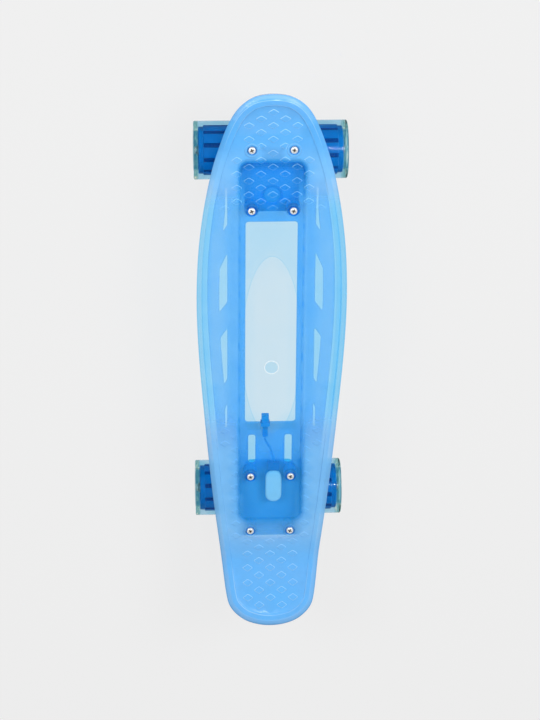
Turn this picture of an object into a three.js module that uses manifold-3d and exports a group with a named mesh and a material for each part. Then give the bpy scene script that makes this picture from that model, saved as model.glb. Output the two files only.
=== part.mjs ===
// Cruiser skateboard: a translucent moulded deck over a blue undertray with a light pod and its push switch,
// two sprung trucks and four clear wheels on deep blue cores.
// Millimetres, +Z up, +Y towards the nose. The origin is on the ground under the middle of the board.
import * as THREE from 'three';
import { mergeVertices } from 'three/addons/utils/BufferGeometryUtils.js';
import Module from 'manifold-3d';

const wasm = await Module();
wasm.setup();

// General clearances
const seatGap = 0.3; // between pieces that rest on each other
const runningGap = 0.25; // between a shaft and its bore
const overrun = 1; // how far a cutting solid passes the faces that it cuts
const joinDepth = 0.5; // how far joined solids of one piece run into each other

// Deck shell
const deckLength = 575.4;
const deckWidth = 150.4;
const deckSkin = 4;
const rimRadius = 4.5; // round of the upper edge
const rimDepth = 12; // deck top to the rim's foot
const rimTaper = 3.5; // how far the rim's side draws in towards its foot
const rimFoot = 2.6; // width of the foot
const rimFootChamfer = 1;
const rimWall = 3.4;
const borderWidth = 5; // raised line inside the rounded edge
const borderHeight = 1.2;
const borderSlope = 0.9;

// Kicks: plan length from the tip to the start of the bend, bend radius and angle
const tailKickLength = 79.2;
const tailBendRadius = 60;
const tailAngle = THREE.MathUtils.degToRad(24);
const noseKickLength = 45;
const noseBendRadius = 120;
const noseAngle = THREE.MathUtils.degToRad(12);

// Plan outline from tail tip to nose tip: share of half the length, share of half the width
const outlineShares = [
  [-1, 0], [-0.996, 0.173], [-0.981, 0.358], [-0.954, 0.503], [-0.928, 0.576], [-0.901, 0.606],
  [-0.78, 0.67], [-0.528, 0.787], [-0.198, 0.906], [0.083, 0.984], [0.266, 1], [0.447, 0.967],
  [0.623, 0.875], [0.765, 0.751], [0.908, 0.547], [0.963, 0.399], [0.991, 0.23], [1, 0],
];
const outlineSteps = 2; // steps between two of those points
const outlineSamples = 400; // samples for reading a half width at one place

// Undertray and the box wall above it, set out from the middles of the bolt patterns
const trayInset = 11;
const trayThickness = 3;
const trayPastFront = 40.2;
const trayPastRear = 46.2;
const trayCorner = 12;
const boxDepth = 20; // deck top to the tray's underside
const boxWidth = 66;
const boxPastFront = 12.9;
const boxPastRear = 26.6;
const boxWall = 2;
const boxCorner = 9;

// Window, side slots and rear floor slots in the tray
const windowWidth = 51.8;
const windowBehindFront = 49.6; // front pattern's middle to the window's nose end
const windowAheadRear = 86.2; // rear pattern's middle to the window's tail end
const windowCorner = 3;
const sideSlotEdge = 23.1; // from the deck's outline to a slot's curved outer edge
const sideSlotWidth = 7.9; // where the deck is widest
const sideSlotLeast = 2;
// Shares of half the deck length: nose end at the inner and outer edge, tail end at the inner and outer edge
const sideSlotShares = [
  [0.645, 0.641, 0.504, 0.481],
  [0.399, 0.342, 0.214, 0.177],
  [0.114, 0.08, -0.083, -0.103],
  [-0.181, -0.199, -0.27, -0.278],
];
const floorSlotWidth = 7.4;
const floorSlotOffset = 18.8;
const floorSlotGap = 14.5; // behind the window
const floorSlotMargin = 0.5; // ahead of the bolt bosses

// Push switch in the cross wall behind the window
const crossWall = 2.5;
const switchOffset = -5.5;
const bezelSize = 9.2;
const bezelThickness = 4;
const bezelFloor = 1.5;
const buttonSize = 7.4;
const buttonProud = 7.6;
const buttonDip = 0.8; // how far the released button reaches into its bezel
const buttonChamfer = 1;
const stemSize = 5.2;
const stemLength = 9.4; // behind the cross wall

// Switch lead: a cable and its connector block
const leadRadius = 1.1;
const leadSides = 8;
const leadSteps = 14;
const leadSag = 1.5;
// Shares of the way from the switch to the connector, along and across
const leadShares = [
  [0, 0], [0.14, 0.01], [0.31, 0.26], [0.48, 0.61], [0.68, 0.8], [0.86, 0.97], [1, 1],
];
const connectorWidth = 12.4;
const connectorLength = 9;
const connectorHeight = 6;

// Light pod: base, battery, circuit board and lens cover
const podWidth = 16.5;
const podLength = 35.6;
const podAheadRear = 34.4; // rear pattern's middle to the pod's nose end
const podOffset = 3.5;
const podBaseHeight = 6;
const podWall = 1.5;
const podCoverHeight = 3;
const podCoverChamfer = 1;
const batteryWidth = 10;
const batteryLength = 26;
const batteryHeight = 2.2;
const circuitWidth = 10.6;
const circuitLength = 26.4;
const circuitThickness = 0.8;
const lampSize = 2.4;
const lampHeight = 0.7;
const lampPitch = 8;
const lampCount = 3;

// Bolt patterns
const frontSetback = 89.5; // nose tip to the middle of the front pattern
const rearSetback = 128.7; // tail tip to the middle of the rear pattern
const boltSpacingX = 41.275;
const boltSpacingY = 63.5;
const boltRadius = 2.4;
const boltHeadRadius = 3.6;
const boltHeadHeight = 2.4;
const boltHeadDome = 0.8;
const boltTipChamfer = 0.5;
const boltProud = 1.5; // thread past the nut
const boltHoleGap = 0.35;
const bossRadius = 7;
const bossHeight = 0.8; // ring above the deck top
const recessRadius = 5;
const recessDepth = 1.6;
const boltNutFlats = 8;
const boltNutHeight = 5;

// Truck baseplate
const plateWidth = 54;
const plateLength = 80;
const plateThickness = 5;
const plateCorner = 9;
const axleOffset = 10.9; // axle outboard of the pattern's middle
const axleDrop = 39.9; // axle below the tray's underside

// Kingpin and the stack on it, measured along it from the top of its head
const steerAngle = THREE.MathUtils.degToRad(20);
const kingpinInboard = 21; // head inboard of the pattern's middle
const kingpinSunk = 2.5; // head top below the tray's underside
const kingpinRadius = 4.75;
const kingpinHeadRadius = 7.8;
const kingpinHeadHeight = 4.5;
const seatWeb = 3.5; // baseplate under the kingpin head
const boardBushingHeight = 9.5;
const boardBushingRadius = 10.5;
const ringHeight = 6.5;
const roadBushingHeight = 9;
const roadBushingRadius = 9.5;
const roadBushingTipRadius = 8;
const bushingBulge = 0.6;
const kingpinWasherHeight = 1.2;
const kingpinNutHeight = 6;
const kingpinNutFlats = 14.3;
const kingpinProud = 1.3;
const kingpinTipChamfer = 0.8;
const kingpinBossRadius = 12;

// Pivot: the hanger's nose in its cup
const pivotReach = 30; // kingpin axis to the mouth side of the cup
const pivotRadius = 4.3;
const cupWall = 1.9;
const cupDepth = 8;
const cupFloor = 1.4;
const cupSetBack = 3; // cup mouth inboard of the pivot's middle
const pivotBossWall = 2.4;
const pivotBossFloor = 1.2;

// Hanger
const hangerEndGap = 0.6; // to the inner bearing
const beamRadius = 8;
const beamEndRadius = 6.6;
const ringRadius = 13;
const ringBoreRadius = 6.2;
const yokeWidth = 16;
const yokeInner = 12; // yoke's inner face from the kingpin axis
const yokeOuter = 25;
const yokeTop = 6;
const yokeEase = 1.5;
const wingTopWidth = 16;
const wingTopDrop = 1;
const wingFootWidth = 54;
const wingThickness = 8;

// Axle and wheels
const axleRadius = 4;
const axleChamfer = 0.8;
const trackOverWheels = 153.4;
const wheelRadius = 29.4;
const wheelWidth = 45;
const tyreShoulder = 1.6;
const tyreMouthRadius = 19.5;
const coreLength = 35;
const corePanelRadius = 23.6;
const coreGrooveDepth = 1.3;
const corePanelCount = 10;
const panelShare = 0.74; // share of the pitch that a panel takes
const coreRimWall = 3.8;
const coreHubRadius = 15;
const coreWeb = 8;
const bearingRadius = 11;
const bearingWidth = 7;
const bearingSpan = 24; // over both bearings
const spacerRadius = 6.2;
const axleNutFlats = 12.7;
const axleNutHeight = 6.5;
const axleProud = 1.6;

// Sides of round solids
const boltSides = 10;
const shaftSides = 14;
const ringSides = 20;
const wheelSides = 26; // one flat side of a tyre lies on the ground
const cornerSteps = 4;

// Worked out from the sizes above
const halfLength = deckLength / 2;
const halfWidth = deckWidth / 2;
const wheelX = trackOverWheels / 2 - wheelWidth / 2;
const mountZ = wheelRadius + axleDrop; // the tray's underside
const deckZ = mountZ + boxDepth; // the deck's flat top
const trayTopZ = mountZ + trayThickness;
const skinUnderZ = deckZ - deckSkin;
const hangerWidth = 2 * (wheelX - bearingSpan / 2 - hangerEndGap);
const tailBendY = -halfLength + tailKickLength;
const noseBendY = halfLength - noseKickLength;
const frontTruckY = halfLength - frontSetback;
const rearTruckY = -halfLength + rearSetback;
const boxNoseEnd = frontTruckY + boxPastFront;
const boxTailEnd = rearTruckY - boxPastRear;
const windowNoseEnd = frontTruckY - windowBehindFront;
const windowTailEnd = rearTruckY + windowAheadRear;
const sideSlotInner = halfWidth - sideSlotEdge - sideSlotWidth;
const floorSlotNoseEnd = windowTailEnd - floorSlotGap;
const floorSlotTailEnd = rearTruckY + boltSpacingY / 2 + bossRadius + floorSlotMargin;
const roomHeight = skinUnderZ - trayTopZ; // between tray and deck skin
const roomMiddleZ = trayTopZ + roomHeight / 2;
const crossWallTailY = windowTailEnd - crossWall;

// Materials
const colours = {
  deckBlue: { color: 0x5fb4f5, roughness: 0.22, metalness: 0 },
  trayBlue: { color: 0x4f9ff0, roughness: 0.3, metalness: 0 },
  paleLens: { color: 0xbfe2f6, roughness: 0.4, metalness: 0 },
  switchBlue: { color: 0x0f7fc8, roughness: 0.4, metalness: 0 },
  batteryGrey: { color: 0x8f9aa3, roughness: 0.5, metalness: 0.3 },
  circuitGreen: { color: 0x2f7a4c, roughness: 0.6, metalness: 0 },
  screwSteel: { color: 0xd4d6d6, roughness: 0.25, metalness: 1 },
  nutSteel: { color: 0x9da1a4, roughness: 0.35, metalness: 1 },
  truckBlue: { color: 0x1868b4, roughness: 0.35, metalness: 0.4 },
  cupBlack: { color: 0x1c1d20, roughness: 0.7, metalness: 0 },
  bushingBlue: { color: 0x2a86cf, roughness: 0.5, metalness: 0 },
  tyreClear: { color: 0xb9d8dc, roughness: 0.1, metalness: 0 },
  coreBlue: { color: 0x0a63b4, roughness: 0.25, metalness: 0 },
};

// Solids: a closed geometry becomes a solid that can be joined and cut, and comes back as a geometry
function solidFrom(geometry) {
  const bare = geometry.index ? geometry.toNonIndexed() : geometry.clone();
  bare.deleteAttribute('normal');
  bare.deleteAttribute('uv');
  const merged = mergeVertices(bare);
  const corners = merged.index.array;
  const kept = [];
  for (let i = 0; i < corners.length; i += 3) {
    const [a, b, c] = [corners[i], corners[i + 1], corners[i + 2]];
    if (a !== b && b !== c && c !== a) kept.push(a, b, c);
  }
  return new wasm.Manifold(new wasm.Mesh({
    numProp: 3,
    vertProperties: merged.attributes.position.array,
    triVerts: new Uint32Array(kept),
  }));
}

function geometryFrom(solid) {
  const { vertProperties, triVerts } = solid.getMesh();
  const geometry = new THREE.BufferGeometry();
  geometry.setAttribute('position', new THREE.BufferAttribute(new Float32Array(vertProperties), 3));
  geometry.setIndex(new THREE.BufferAttribute(new Uint32Array(triVerts), 1));
  return geometry;
}

function joined(...geometries) {
  const solids = geometries.map(solidFrom);
  return geometryFrom(solids.reduce((all, next) => all.add(next)));
}

function cut(geometry, ...cutters) {
  const start = solidFrom(geometry);
  return geometryFrom(cutters.map(solidFrom).reduce((left, next) => left.subtract(next), start));
}

function common(geometry, keeper) {
  return geometryFrom(solidFrom(geometry).intersect(solidFrom(keeper)));
}

// A turned solid about +Z from [radius, z] points that start and end on the axis or close on themselves
function turned(profile, sides) {
  const points = profile.map(([radius, height]) => new THREE.Vector2(radius, height));
  return new THREE.LatheGeometry(points, sides).rotateX(Math.PI / 2);
}

function rod(radius, low, high, sides, chamfer = 0) {
  return turned(chamfer > 0
    ? [[0, low], [radius - chamfer, low], [radius, low + chamfer], [radius, high - chamfer],
      [radius - chamfer, high], [0, high]]
    : [[0, low], [radius, low], [radius, high], [0, high]], sides);
}

function tube(inner, outer, low, high, sides) {
  return turned([[inner, low], [outer, low], [outer, high], [inner, high], [inner, low]], sides);
}

// A block between two corners
function block(low, high) {
  const size = high.map((value, i) => value - low[i]);
  const middle = high.map((value, i) => (value + low[i]) / 2);
  return new THREE.BoxGeometry(...size).translate(...middle);
}

function extruded(shape, low, high) {
  return new THREE.ExtrudeGeometry(shape, {
    depth: high - low,
    bevelEnabled: false,
    curveSegments: cornerSteps,
  }).translate(0, 0, low);
}

// Draws a rectangle with round corners into a shape or a hole path
function roundedRectangle(path, left, right, bottom, top, radius) {
  path.moveTo(left + radius, bottom);
  path.lineTo(right - radius, bottom);
  path.absarc(right - radius, bottom + radius, radius, -Math.PI / 2, 0, false);
  path.lineTo(right, top - radius);
  path.absarc(right - radius, top - radius, radius, 0, Math.PI / 2, false);
  path.lineTo(left + radius, top);
  path.absarc(left + radius, top - radius, radius, Math.PI / 2, Math.PI, false);
  path.lineTo(left, bottom + radius);
  path.absarc(left + radius, bottom + radius, radius, Math.PI, Math.PI * 1.5, false);
  return path;
}

function polygonPath(path, points) {
  path.setFromPoints(points.map(([x, y]) => new THREE.Vector2(x, y)));
  return path;
}

function ringOfPoints(radius, sides, x = 0, y = 0, turn = 0) {
  return Array.from({ length: sides }, (_, i) => {
    const angle = turn + (i / sides) * Math.PI * 2;
    return [x + radius * Math.cos(angle), y + radius * Math.sin(angle)];
  });
}

function hexNut(flats, bore, low, high) {
  const shape = polygonPath(new THREE.Shape(), ringOfPoints(flats / Math.sqrt(3), 6));
  shape.holes.push(polygonPath(new THREE.Path(), ringOfPoints(bore, boltSides)));
  return extruded(shape, low, high);
}

const board = new THREE.Group();

function addMesh(parent, name, geometry, finish) {
  const mesh = new THREE.Mesh(geometry, new THREE.MeshStandardMaterial(finish));
  mesh.name = name;
  parent.add(mesh);
  return mesh;
}

// Plan outline: the right half as a smooth curve from tail tip to nose tip
const outlineCurve = new THREE.CatmullRomCurve3(
  outlineShares.map(([along, across]) => new THREE.Vector3(across * halfWidth, along * halfLength, 0)),
  false,
  'centripetal',
);

// Points of that half moved inwards by an inset, with the tips kept on the middle plane
function insetOutline(inset, steps) {
  return Array.from({ length: steps + 1 }, (_, i) => {
    const share = i / steps;
    const point = outlineCurve.getPoint(share);
    const tip = i === 0 || i === steps;
    const along = tip ? new THREE.Vector3(i === 0 ? 1 : -1, 0, 0) : outlineCurve.getTangent(share);
    const inwards = new THREE.Vector2(-along.y, along.x).normalize();
    return new THREE.Vector2(tip ? 0 : point.x + inwards.x * inset, point.y + inwards.y * inset);
  });
}

// Half width of the inset outline at one place along the deck
function halfWidthAt(y, inset) {
  const points = insetOutline(inset, outlineSamples);
  const next = points.findIndex((point) => point.y > y);
  const [before, after] = [points[next - 1], points[next]];
  const share = (y - before.y) / (after.y - before.y);
  return before.x + (after.x - before.x) * share;
}

// Height and slope of the deck's middle surface at one place along it
function kickAt(y) {
  const tail = y < 0;
  const [start, radius, angle] = tail
    ? [tailBendY, tailBendRadius, tailAngle]
    : [noseBendY, noseBendRadius, noseAngle];
  const run = tail ? start - y : y - start;
  if (run <= 0) return { rise: 0, slope: 0 };
  const bendRun = radius * Math.sin(angle);
  const slope = run < bendRun ? Math.asin(run / radius) : angle;
  const straight = Math.max(0, run - bendRun) * Math.tan(angle);
  return { rise: radius * (1 - Math.cos(slope)) + straight, slope: tail ? -slope : slope };
}

// Bends a flat solid, drawn with its top at height zero, along the kicks
function bent(x, y, height) {
  const { rise, slope } = kickAt(y);
  return [x, y - height * Math.sin(slope), deckZ + rise + height * Math.cos(slope)];
}

// The deck's skin and rim: rings of the inset outline at stepped heights, closed by two ladders
function deckShell() {
  const steps = outlineSteps * (outlineShares.length - 1);
  const borderEnd = rimRadius + borderWidth;
  const halfRound = rimRadius * (1 - Math.SQRT1_2);
  const rings = [
    [borderEnd + borderSlope, 0],
    [borderEnd, borderHeight],
    [rimRadius, borderHeight],
    [halfRound, borderHeight - halfRound],
    [0, borderHeight - rimRadius],
    [rimTaper, -rimDepth + rimFootChamfer],
    [rimTaper + rimFootChamfer, -rimDepth],
    [rimTaper + rimFoot, -rimDepth],
    [rimWall, -deckSkin],
  ].map(([inset, height]) => {
    const right = insetOutline(inset, steps);
    const left = right.slice(1, -1).reverse().map((point) => new THREE.Vector2(-point.x, point.y));
    return [...right, ...left].map((point) => bent(point.x, point.y, height));
  });
  const around = rings[0].length;
  const corners = [];
  for (let ring = 0; ring + 1 < rings.length; ring += 1) {
    for (let i = 0; i < around; i += 1) {
      const j = (i + 1) % around;
      const [a, b] = [ring * around, (ring + 1) * around];
      corners.push(a + i, b + i, b + j, a + i, b + j, a + j);
    }
  }
  const last = (rings.length - 1) * around;
  for (let i = 0; i < steps; i += 1) {
    const [right, nextRight] = [i, i + 1];
    const [left, nextLeft] = [(around - i) % around, around - i - 1];
    corners.push(left, right, nextRight, left, nextRight, nextLeft);
    corners.push(last + left, last + nextRight, last + right, last + left, last + nextLeft, last + nextRight);
  }
  const geometry = new THREE.BufferGeometry();
  geometry.setAttribute('position', new THREE.Float32BufferAttribute(rings.flat(2), 3));
  geometry.setIndex(corners);
  return geometry;
}

const truckMiddles = { front: frontTruckY, rear: rearTruckY };
const boltPlaces = Object.entries(truckMiddles).flatMap(([truck, middle]) => (
  [['nose', 1], ['tail', -1]].flatMap(([row, along]) => (
    [['left', -1], ['right', 1]].map(([side, across]) => ({
      name: `${truck}_${row}_${side}`,
      x: across * boltSpacingX / 2,
      y: middle + along * boltSpacingY / 2,
    }))
  ))
));

// Deck: shell, box wall and bosses, with the bolt recesses and holes
function deckGeometry() {
  const wallShape = roundedRectangle(
    new THREE.Shape(), -boxWidth / 2, boxWidth / 2, boxTailEnd, boxNoseEnd, boxCorner,
  );
  wallShape.holes.push(roundedRectangle(
    new THREE.Path(),
    boxWall - boxWidth / 2,
    boxWidth / 2 - boxWall,
    boxTailEnd + boxWall,
    boxNoseEnd - boxWall,
    boxCorner - boxWall,
  ));
  const footZ = trayTopZ + seatGap;
  const wall = extruded(wallShape, footZ, skinUnderZ + joinDepth);
  const bosses = boltPlaces.map(({ x, y }) => (
    rod(bossRadius, footZ, deckZ + bossHeight, boltSides).translate(x, y, 0)
  ));
  const recesses = boltPlaces.map(({ x, y }) => (
    rod(recessRadius, deckZ - recessDepth, deckZ + bossHeight + overrun, boltSides).translate(x, y, 0)
  ));
  const holes = boltPlaces.map(({ x, y }) => (
    rod(boltRadius + boltHoleGap, footZ - overrun, deckZ, boltSides).translate(x, y, 0)
  ));
  return cut(joined(deckShell(), wall, ...bosses), ...recesses, ...holes);
}
addMesh(board, 'deck', deckGeometry(), colours.deckBlue);

// One side slot of the tray, on the +X side, as points
function sideSlot([innerNose, outerNose, innerTail, outerTail]) {
  const sideSteps = 3;
  const outer = Array.from({ length: sideSteps + 1 }, (_, i) => {
    const y = halfLength * (outerTail + ((outerNose - outerTail) * i) / sideSteps);
    return [Math.max(sideSlotInner + sideSlotLeast, halfWidthAt(y, sideSlotEdge)), y];
  });
  return [[sideSlotInner, innerTail * halfLength], ...outer, [sideSlotInner, innerNose * halfLength]];
}

// Undertray: the plate with its openings, and the cross wall that carries the switch
function trayGeometry() {
  const traySteps = 20;
  const [low, high] = [rearTruckY - trayPastRear, frontTruckY + trayPastFront];
  const side = Array.from({ length: traySteps + 1 }, (_, i) => {
    const y = low + trayCorner + ((high - low - 2 * trayCorner) * i) / traySteps;
    return [halfWidthAt(y, trayInset), y];
  });
  const right = [
    [side[0][0] - trayCorner, low], ...side, [side[traySteps][0] - trayCorner, high],
  ];
  const left = right.map(([x, y]) => [-x, y]).reverse();
  const shape = polygonPath(new THREE.Shape(), [...right, ...left]);
  shape.holes.push(roundedRectangle(
    new THREE.Path(), -windowWidth / 2, windowWidth / 2, windowTailEnd, windowNoseEnd, windowCorner,
  ));
  for (const slot of sideSlotShares.map(sideSlot)) {
    shape.holes.push(polygonPath(new THREE.Path(), slot));
    shape.holes.push(polygonPath(new THREE.Path(), slot.map(([x, y]) => [-x, y])));
  }
  for (const across of [-1, 1]) {
    shape.holes.push(roundedRectangle(
      new THREE.Path(),
      across * floorSlotOffset - floorSlotWidth / 2,
      across * floorSlotOffset + floorSlotWidth / 2,
      floorSlotTailEnd,
      floorSlotNoseEnd,
      floorSlotWidth / 3,
    ));
  }
  for (const { x, y } of boltPlaces) {
    shape.holes.push(polygonPath(new THREE.Path(), ringOfPoints(boltRadius + boltHoleGap, boltSides, x, y)));
  }
  const wall = block(
    [-windowWidth / 2, crossWallTailY, trayTopZ - joinDepth],
    [windowWidth / 2, windowTailEnd, skinUnderZ - seatGap],
  );
  const stemHalf = stemSize / 2 + seatGap;
  const doorway = block(
    [switchOffset - stemHalf, crossWallTailY - overrun, roomMiddleZ - stemHalf],
    [switchOffset + stemHalf, windowTailEnd + overrun, roomMiddleZ + stemHalf],
  );
  return cut(joined(extruded(shape, mountZ, trayTopZ), wall), doorway);
}
addMesh(board, 'undertray', trayGeometry(), colours.trayBlue);

// Push switch: a bezel and stem through the cross wall, and the button in front of it
const bezelNoseY = windowTailEnd + seatGap + bezelThickness;
const bezelTailY = windowTailEnd + seatGap;
const stemTailY = crossWallTailY - stemLength;

function switchBodyGeometry() {
  const half = bezelSize / 2;
  const stemHalf = stemSize / 2;
  const pocketHalf = buttonSize / 2 + seatGap;
  const bezel = block(
    [switchOffset - half, bezelTailY, roomMiddleZ - half],
    [switchOffset + half, bezelNoseY, roomMiddleZ + half],
  );
  const stem = block(
    [switchOffset - stemHalf, stemTailY, roomMiddleZ - stemHalf],
    [switchOffset + stemHalf, bezelTailY + joinDepth, roomMiddleZ + stemHalf],
  );
  const pocket = block(
    [switchOffset - pocketHalf, bezelTailY + bezelFloor, roomMiddleZ - pocketHalf],
    [switchOffset + pocketHalf, bezelNoseY + overrun, roomMiddleZ + pocketHalf],
  );
  return cut(joined(bezel, stem), pocket);
}
addMesh(board, 'switch_body', switchBodyGeometry(), colours.switchBlue);

function buttonGeometry() {
  const shape = roundedRectangle(
    new THREE.Shape(), -buttonSize / 2, buttonSize / 2, -buttonSize / 2, buttonSize / 2, buttonChamfer,
  );
  return extruded(shape, -buttonDip, buttonProud).rotateX(-Math.PI / 2);
}
addMesh(board, 'power_button', buttonGeometry(), colours.paleLens)
  .position.set(switchOffset, bezelNoseY, roomMiddleZ);

// Light pod's place, with the lead's connector plugged against its nose end
const podNoseY = rearTruckY + podAheadRear;
const podMiddleY = podNoseY - podLength / 2;
const podBaseZ = trayTopZ + seatGap;
const connectorTailY = podNoseY + seatGap;
const connectorNoseY = connectorTailY + connectorLength;

function leadGeometry() {
  const start = new THREE.Vector3(switchOffset, stemTailY - seatGap, roomMiddleZ);
  const end = new THREE.Vector3(podOffset, connectorNoseY - joinDepth, roomMiddleZ);
  const route = new THREE.CatmullRomCurve3(leadShares.map(([along, across]) => new THREE.Vector3(
    THREE.MathUtils.lerp(start.x, end.x, across),
    THREE.MathUtils.lerp(start.y, end.y, along),
    start.z - leadSag * Math.sin(Math.PI * along),
  )));
  const section = polygonPath(new THREE.Shape(), ringOfPoints(leadRadius, leadSides));
  const cable = new THREE.ExtrudeGeometry(section, { steps: leadSteps, extrudePath: route });
  const connector = block(
    [podOffset - connectorWidth / 2, connectorTailY, roomMiddleZ - connectorHeight / 2],
    [podOffset + connectorWidth / 2, connectorNoseY, roomMiddleZ + connectorHeight / 2],
  );
  return joined(cable, connector);
}
addMesh(board, 'switch_lead', leadGeometry(), colours.switchBlue);

// Light pod, drawn about its own middle and standing on the tray
function podOutline(path, inset) {
  const across = podWidth / 2 - inset;
  const along = podLength / 2 - inset;
  return roundedRectangle(path, -across, across, -along, along, across);
}

function podCoverGeometry() {
  return new THREE.ExtrudeGeometry(podOutline(new THREE.Shape(), podCoverChamfer), {
    depth: podCoverHeight - podCoverChamfer,
    bevelThickness: podCoverChamfer,
    bevelSize: podCoverChamfer,
    bevelSegments: 1,
    curveSegments: cornerSteps,
  }).translate(0, 0, podCoverChamfer);
}

function circuitGeometry() {
  const lamps = Array.from({ length: lampCount }, (_, i) => {
    const y = (i - (lampCount - 1) / 2) * lampPitch;
    return block(
      [-lampSize / 2, y - lampSize / 2, 0],
      [lampSize / 2, y + lampSize / 2, circuitThickness + lampHeight],
    );
  });
  const laminate = block(
    [-circuitWidth / 2, -circuitLength / 2, 0],
    [circuitWidth / 2, circuitLength / 2, circuitThickness],
  );
  return joined(laminate, ...lamps);
}

function addPod() {
  const pod = new THREE.Group();
  pod.position.set(podOffset, podMiddleY, podBaseZ);
  board.add(pod);
  const base = cut(
    extruded(podOutline(new THREE.Shape(), 0), 0, podBaseHeight),
    extruded(podOutline(new THREE.Shape(), podWall), podWall, podBaseHeight + overrun),
  );
  const batteryZ = podWall + seatGap;
  const battery = block(
    [-batteryWidth / 2, -batteryLength / 2, batteryZ],
    [batteryWidth / 2, batteryLength / 2, batteryZ + batteryHeight],
  );
  addMesh(pod, 'pod_base', base, colours.trayBlue);
  addMesh(pod, 'battery', battery, colours.batteryGrey);
  addMesh(pod, 'circuit_board', circuitGeometry(), colours.circuitGreen)
    .position.z = batteryZ + batteryHeight + seatGap;
  addMesh(pod, 'pod_lens', podCoverGeometry(), colours.paleLens)
    .position.z = podBaseHeight + seatGap;
}
addPod();

// Deck bolts and their nuts
const boltSeatZ = deckZ - recessDepth;
const plateTopZ = mountZ - seatGap;
const boltNutTopZ = plateTopZ - plateThickness - seatGap;
const boltTipZ = boltNutTopZ - boltNutHeight - boltProud;

function boltGeometry() {
  const headZ = seatGap;
  const length = boltSeatZ - boltTipZ;
  return turned([
    [0, -length],
    [boltRadius - boltTipChamfer, -length],
    [boltRadius, boltTipChamfer - length],
    [boltRadius, headZ],
    [boltHeadRadius, headZ],
    [boltHeadRadius, headZ + boltHeadHeight - boltHeadDome],
    [boltHeadRadius - boltHeadDome, headZ + boltHeadHeight],
    [0, headZ + boltHeadHeight],
  ], boltSides);
}

for (const { name, x, y } of boltPlaces) {
  addMesh(board, `deck_bolt_${name}`, boltGeometry(), colours.screwSteel).position.set(x, y, boltSeatZ);
  const nut = hexNut(boltNutFlats, boltRadius + runningGap, -boltNutHeight, 0);
  addMesh(board, `deck_nut_${name}`, nut, colours.nutSteel).position.set(x, y, boltNutTopZ);
}

// Steering frame of a truck: middle of the hanger's ring, with +Y along the steering axis outboard and up,
// and -Z down the kingpin
const seatAlong = kingpinHeadHeight + seatWeb;
const ringAlong = seatAlong + seatGap + boardBushingHeight + seatGap + ringHeight / 2;
const steerY = ringAlong * Math.sin(steerAngle) - kingpinInboard;
const steerZ = -kingpinSunk - ringAlong * Math.cos(steerAngle);
const steerMatrix = new THREE.Matrix4()
  .makeRotationX(steerAngle)
  .setPosition(0, steerY, steerZ);
const axleInTruck = new THREE.Vector3(0, axleOffset, -axleDrop);
const axleInSteer = axleInTruck.clone().applyMatrix4(steerMatrix.clone().invert());

// Heights of the stack in the steering frame
const headTopZ = ringAlong;
const seatZ = ringAlong - seatAlong;
const boardBushingLowZ = ringHeight / 2 + seatGap;
const roadBushingTopZ = -ringHeight / 2 - seatGap;
const roadBushingLowZ = roadBushingTopZ - roadBushingHeight;
const washerTopZ = roadBushingLowZ - seatGap;
const washerLowZ = washerTopZ - kingpinWasherHeight;
const kingpinNutTopZ = washerLowZ - seatGap;
const kingpinNutLowZ = kingpinNutTopZ - kingpinNutHeight;
const kingpinTipZ = kingpinNutLowZ - kingpinProud;
const kingpinBore = kingpinRadius + runningGap;

// Pivot cup along the steering axis
const cupMouthY = pivotReach - cupSetBack;
const cupEndY = cupMouthY + cupDepth;
const cupInnerRadius = pivotRadius + runningGap;
const cupOuterRadius = cupInnerRadius + cupWall;
const pivotTipY = cupEndY - cupFloor - seatGap;

// Turned solids of the pivot lie along +Y of the steering frame
function alongSteer(geometry) {
  return geometry.rotateX(-Math.PI / 2);
}

function baseplateGeometry() {
  const shape = roundedRectangle(
    new THREE.Shape(), -plateWidth / 2, plateWidth / 2, -plateLength / 2, plateLength / 2, plateCorner,
  );
  for (const [x, y] of [[-1, -1], [-1, 1], [1, -1], [1, 1]]) {
    shape.holes.push(polygonPath(new THREE.Path(), ringOfPoints(
      boltRadius + boltHoleGap, boltSides, x * boltSpacingX / 2, y * boltSpacingY / 2,
    )));
  }
  const plate = extruded(shape, -seatGap - plateThickness, -seatGap);
  const bosses = joined(
    rod(kingpinBossRadius, seatZ, headTopZ + kingpinBossRadius, ringSides),
    alongSteer(rod(
      cupOuterRadius + seatGap + pivotBossWall, cupMouthY, cupEndY + seatGap + pivotBossFloor, ringSides,
    )),
  ).applyMatrix4(steerMatrix);
  const below = block(
    [-plateWidth, -plateLength, -axleDrop],
    [plateWidth, plateLength, -seatGap - plateThickness / 2],
  );
  const kingpinCut = joined(
    rod(kingpinBore, seatZ - overrun, headTopZ, shaftSides),
    rod(
      kingpinHeadRadius + seatGap, headTopZ - kingpinHeadHeight - seatGap, headTopZ + plateThickness,
      shaftSides,
    ),
  ).applyMatrix4(steerMatrix);
  const cupCut = alongSteer(rod(
    cupOuterRadius + seatGap, cupMouthY - overrun, cupEndY + seatGap, shaftSides,
  )).applyMatrix4(steerMatrix);
  return cut(joined(plate, common(bosses, below)), kingpinCut, cupCut);
}

function pivotCupGeometry() {
  return alongSteer(turned([
    [0, cupEndY - cupFloor],
    [cupInnerRadius, cupEndY - cupFloor],
    [cupInnerRadius, cupMouthY],
    [cupOuterRadius, cupMouthY],
    [cupOuterRadius, cupEndY],
    [0, cupEndY],
  ], shaftSides));
}

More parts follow.
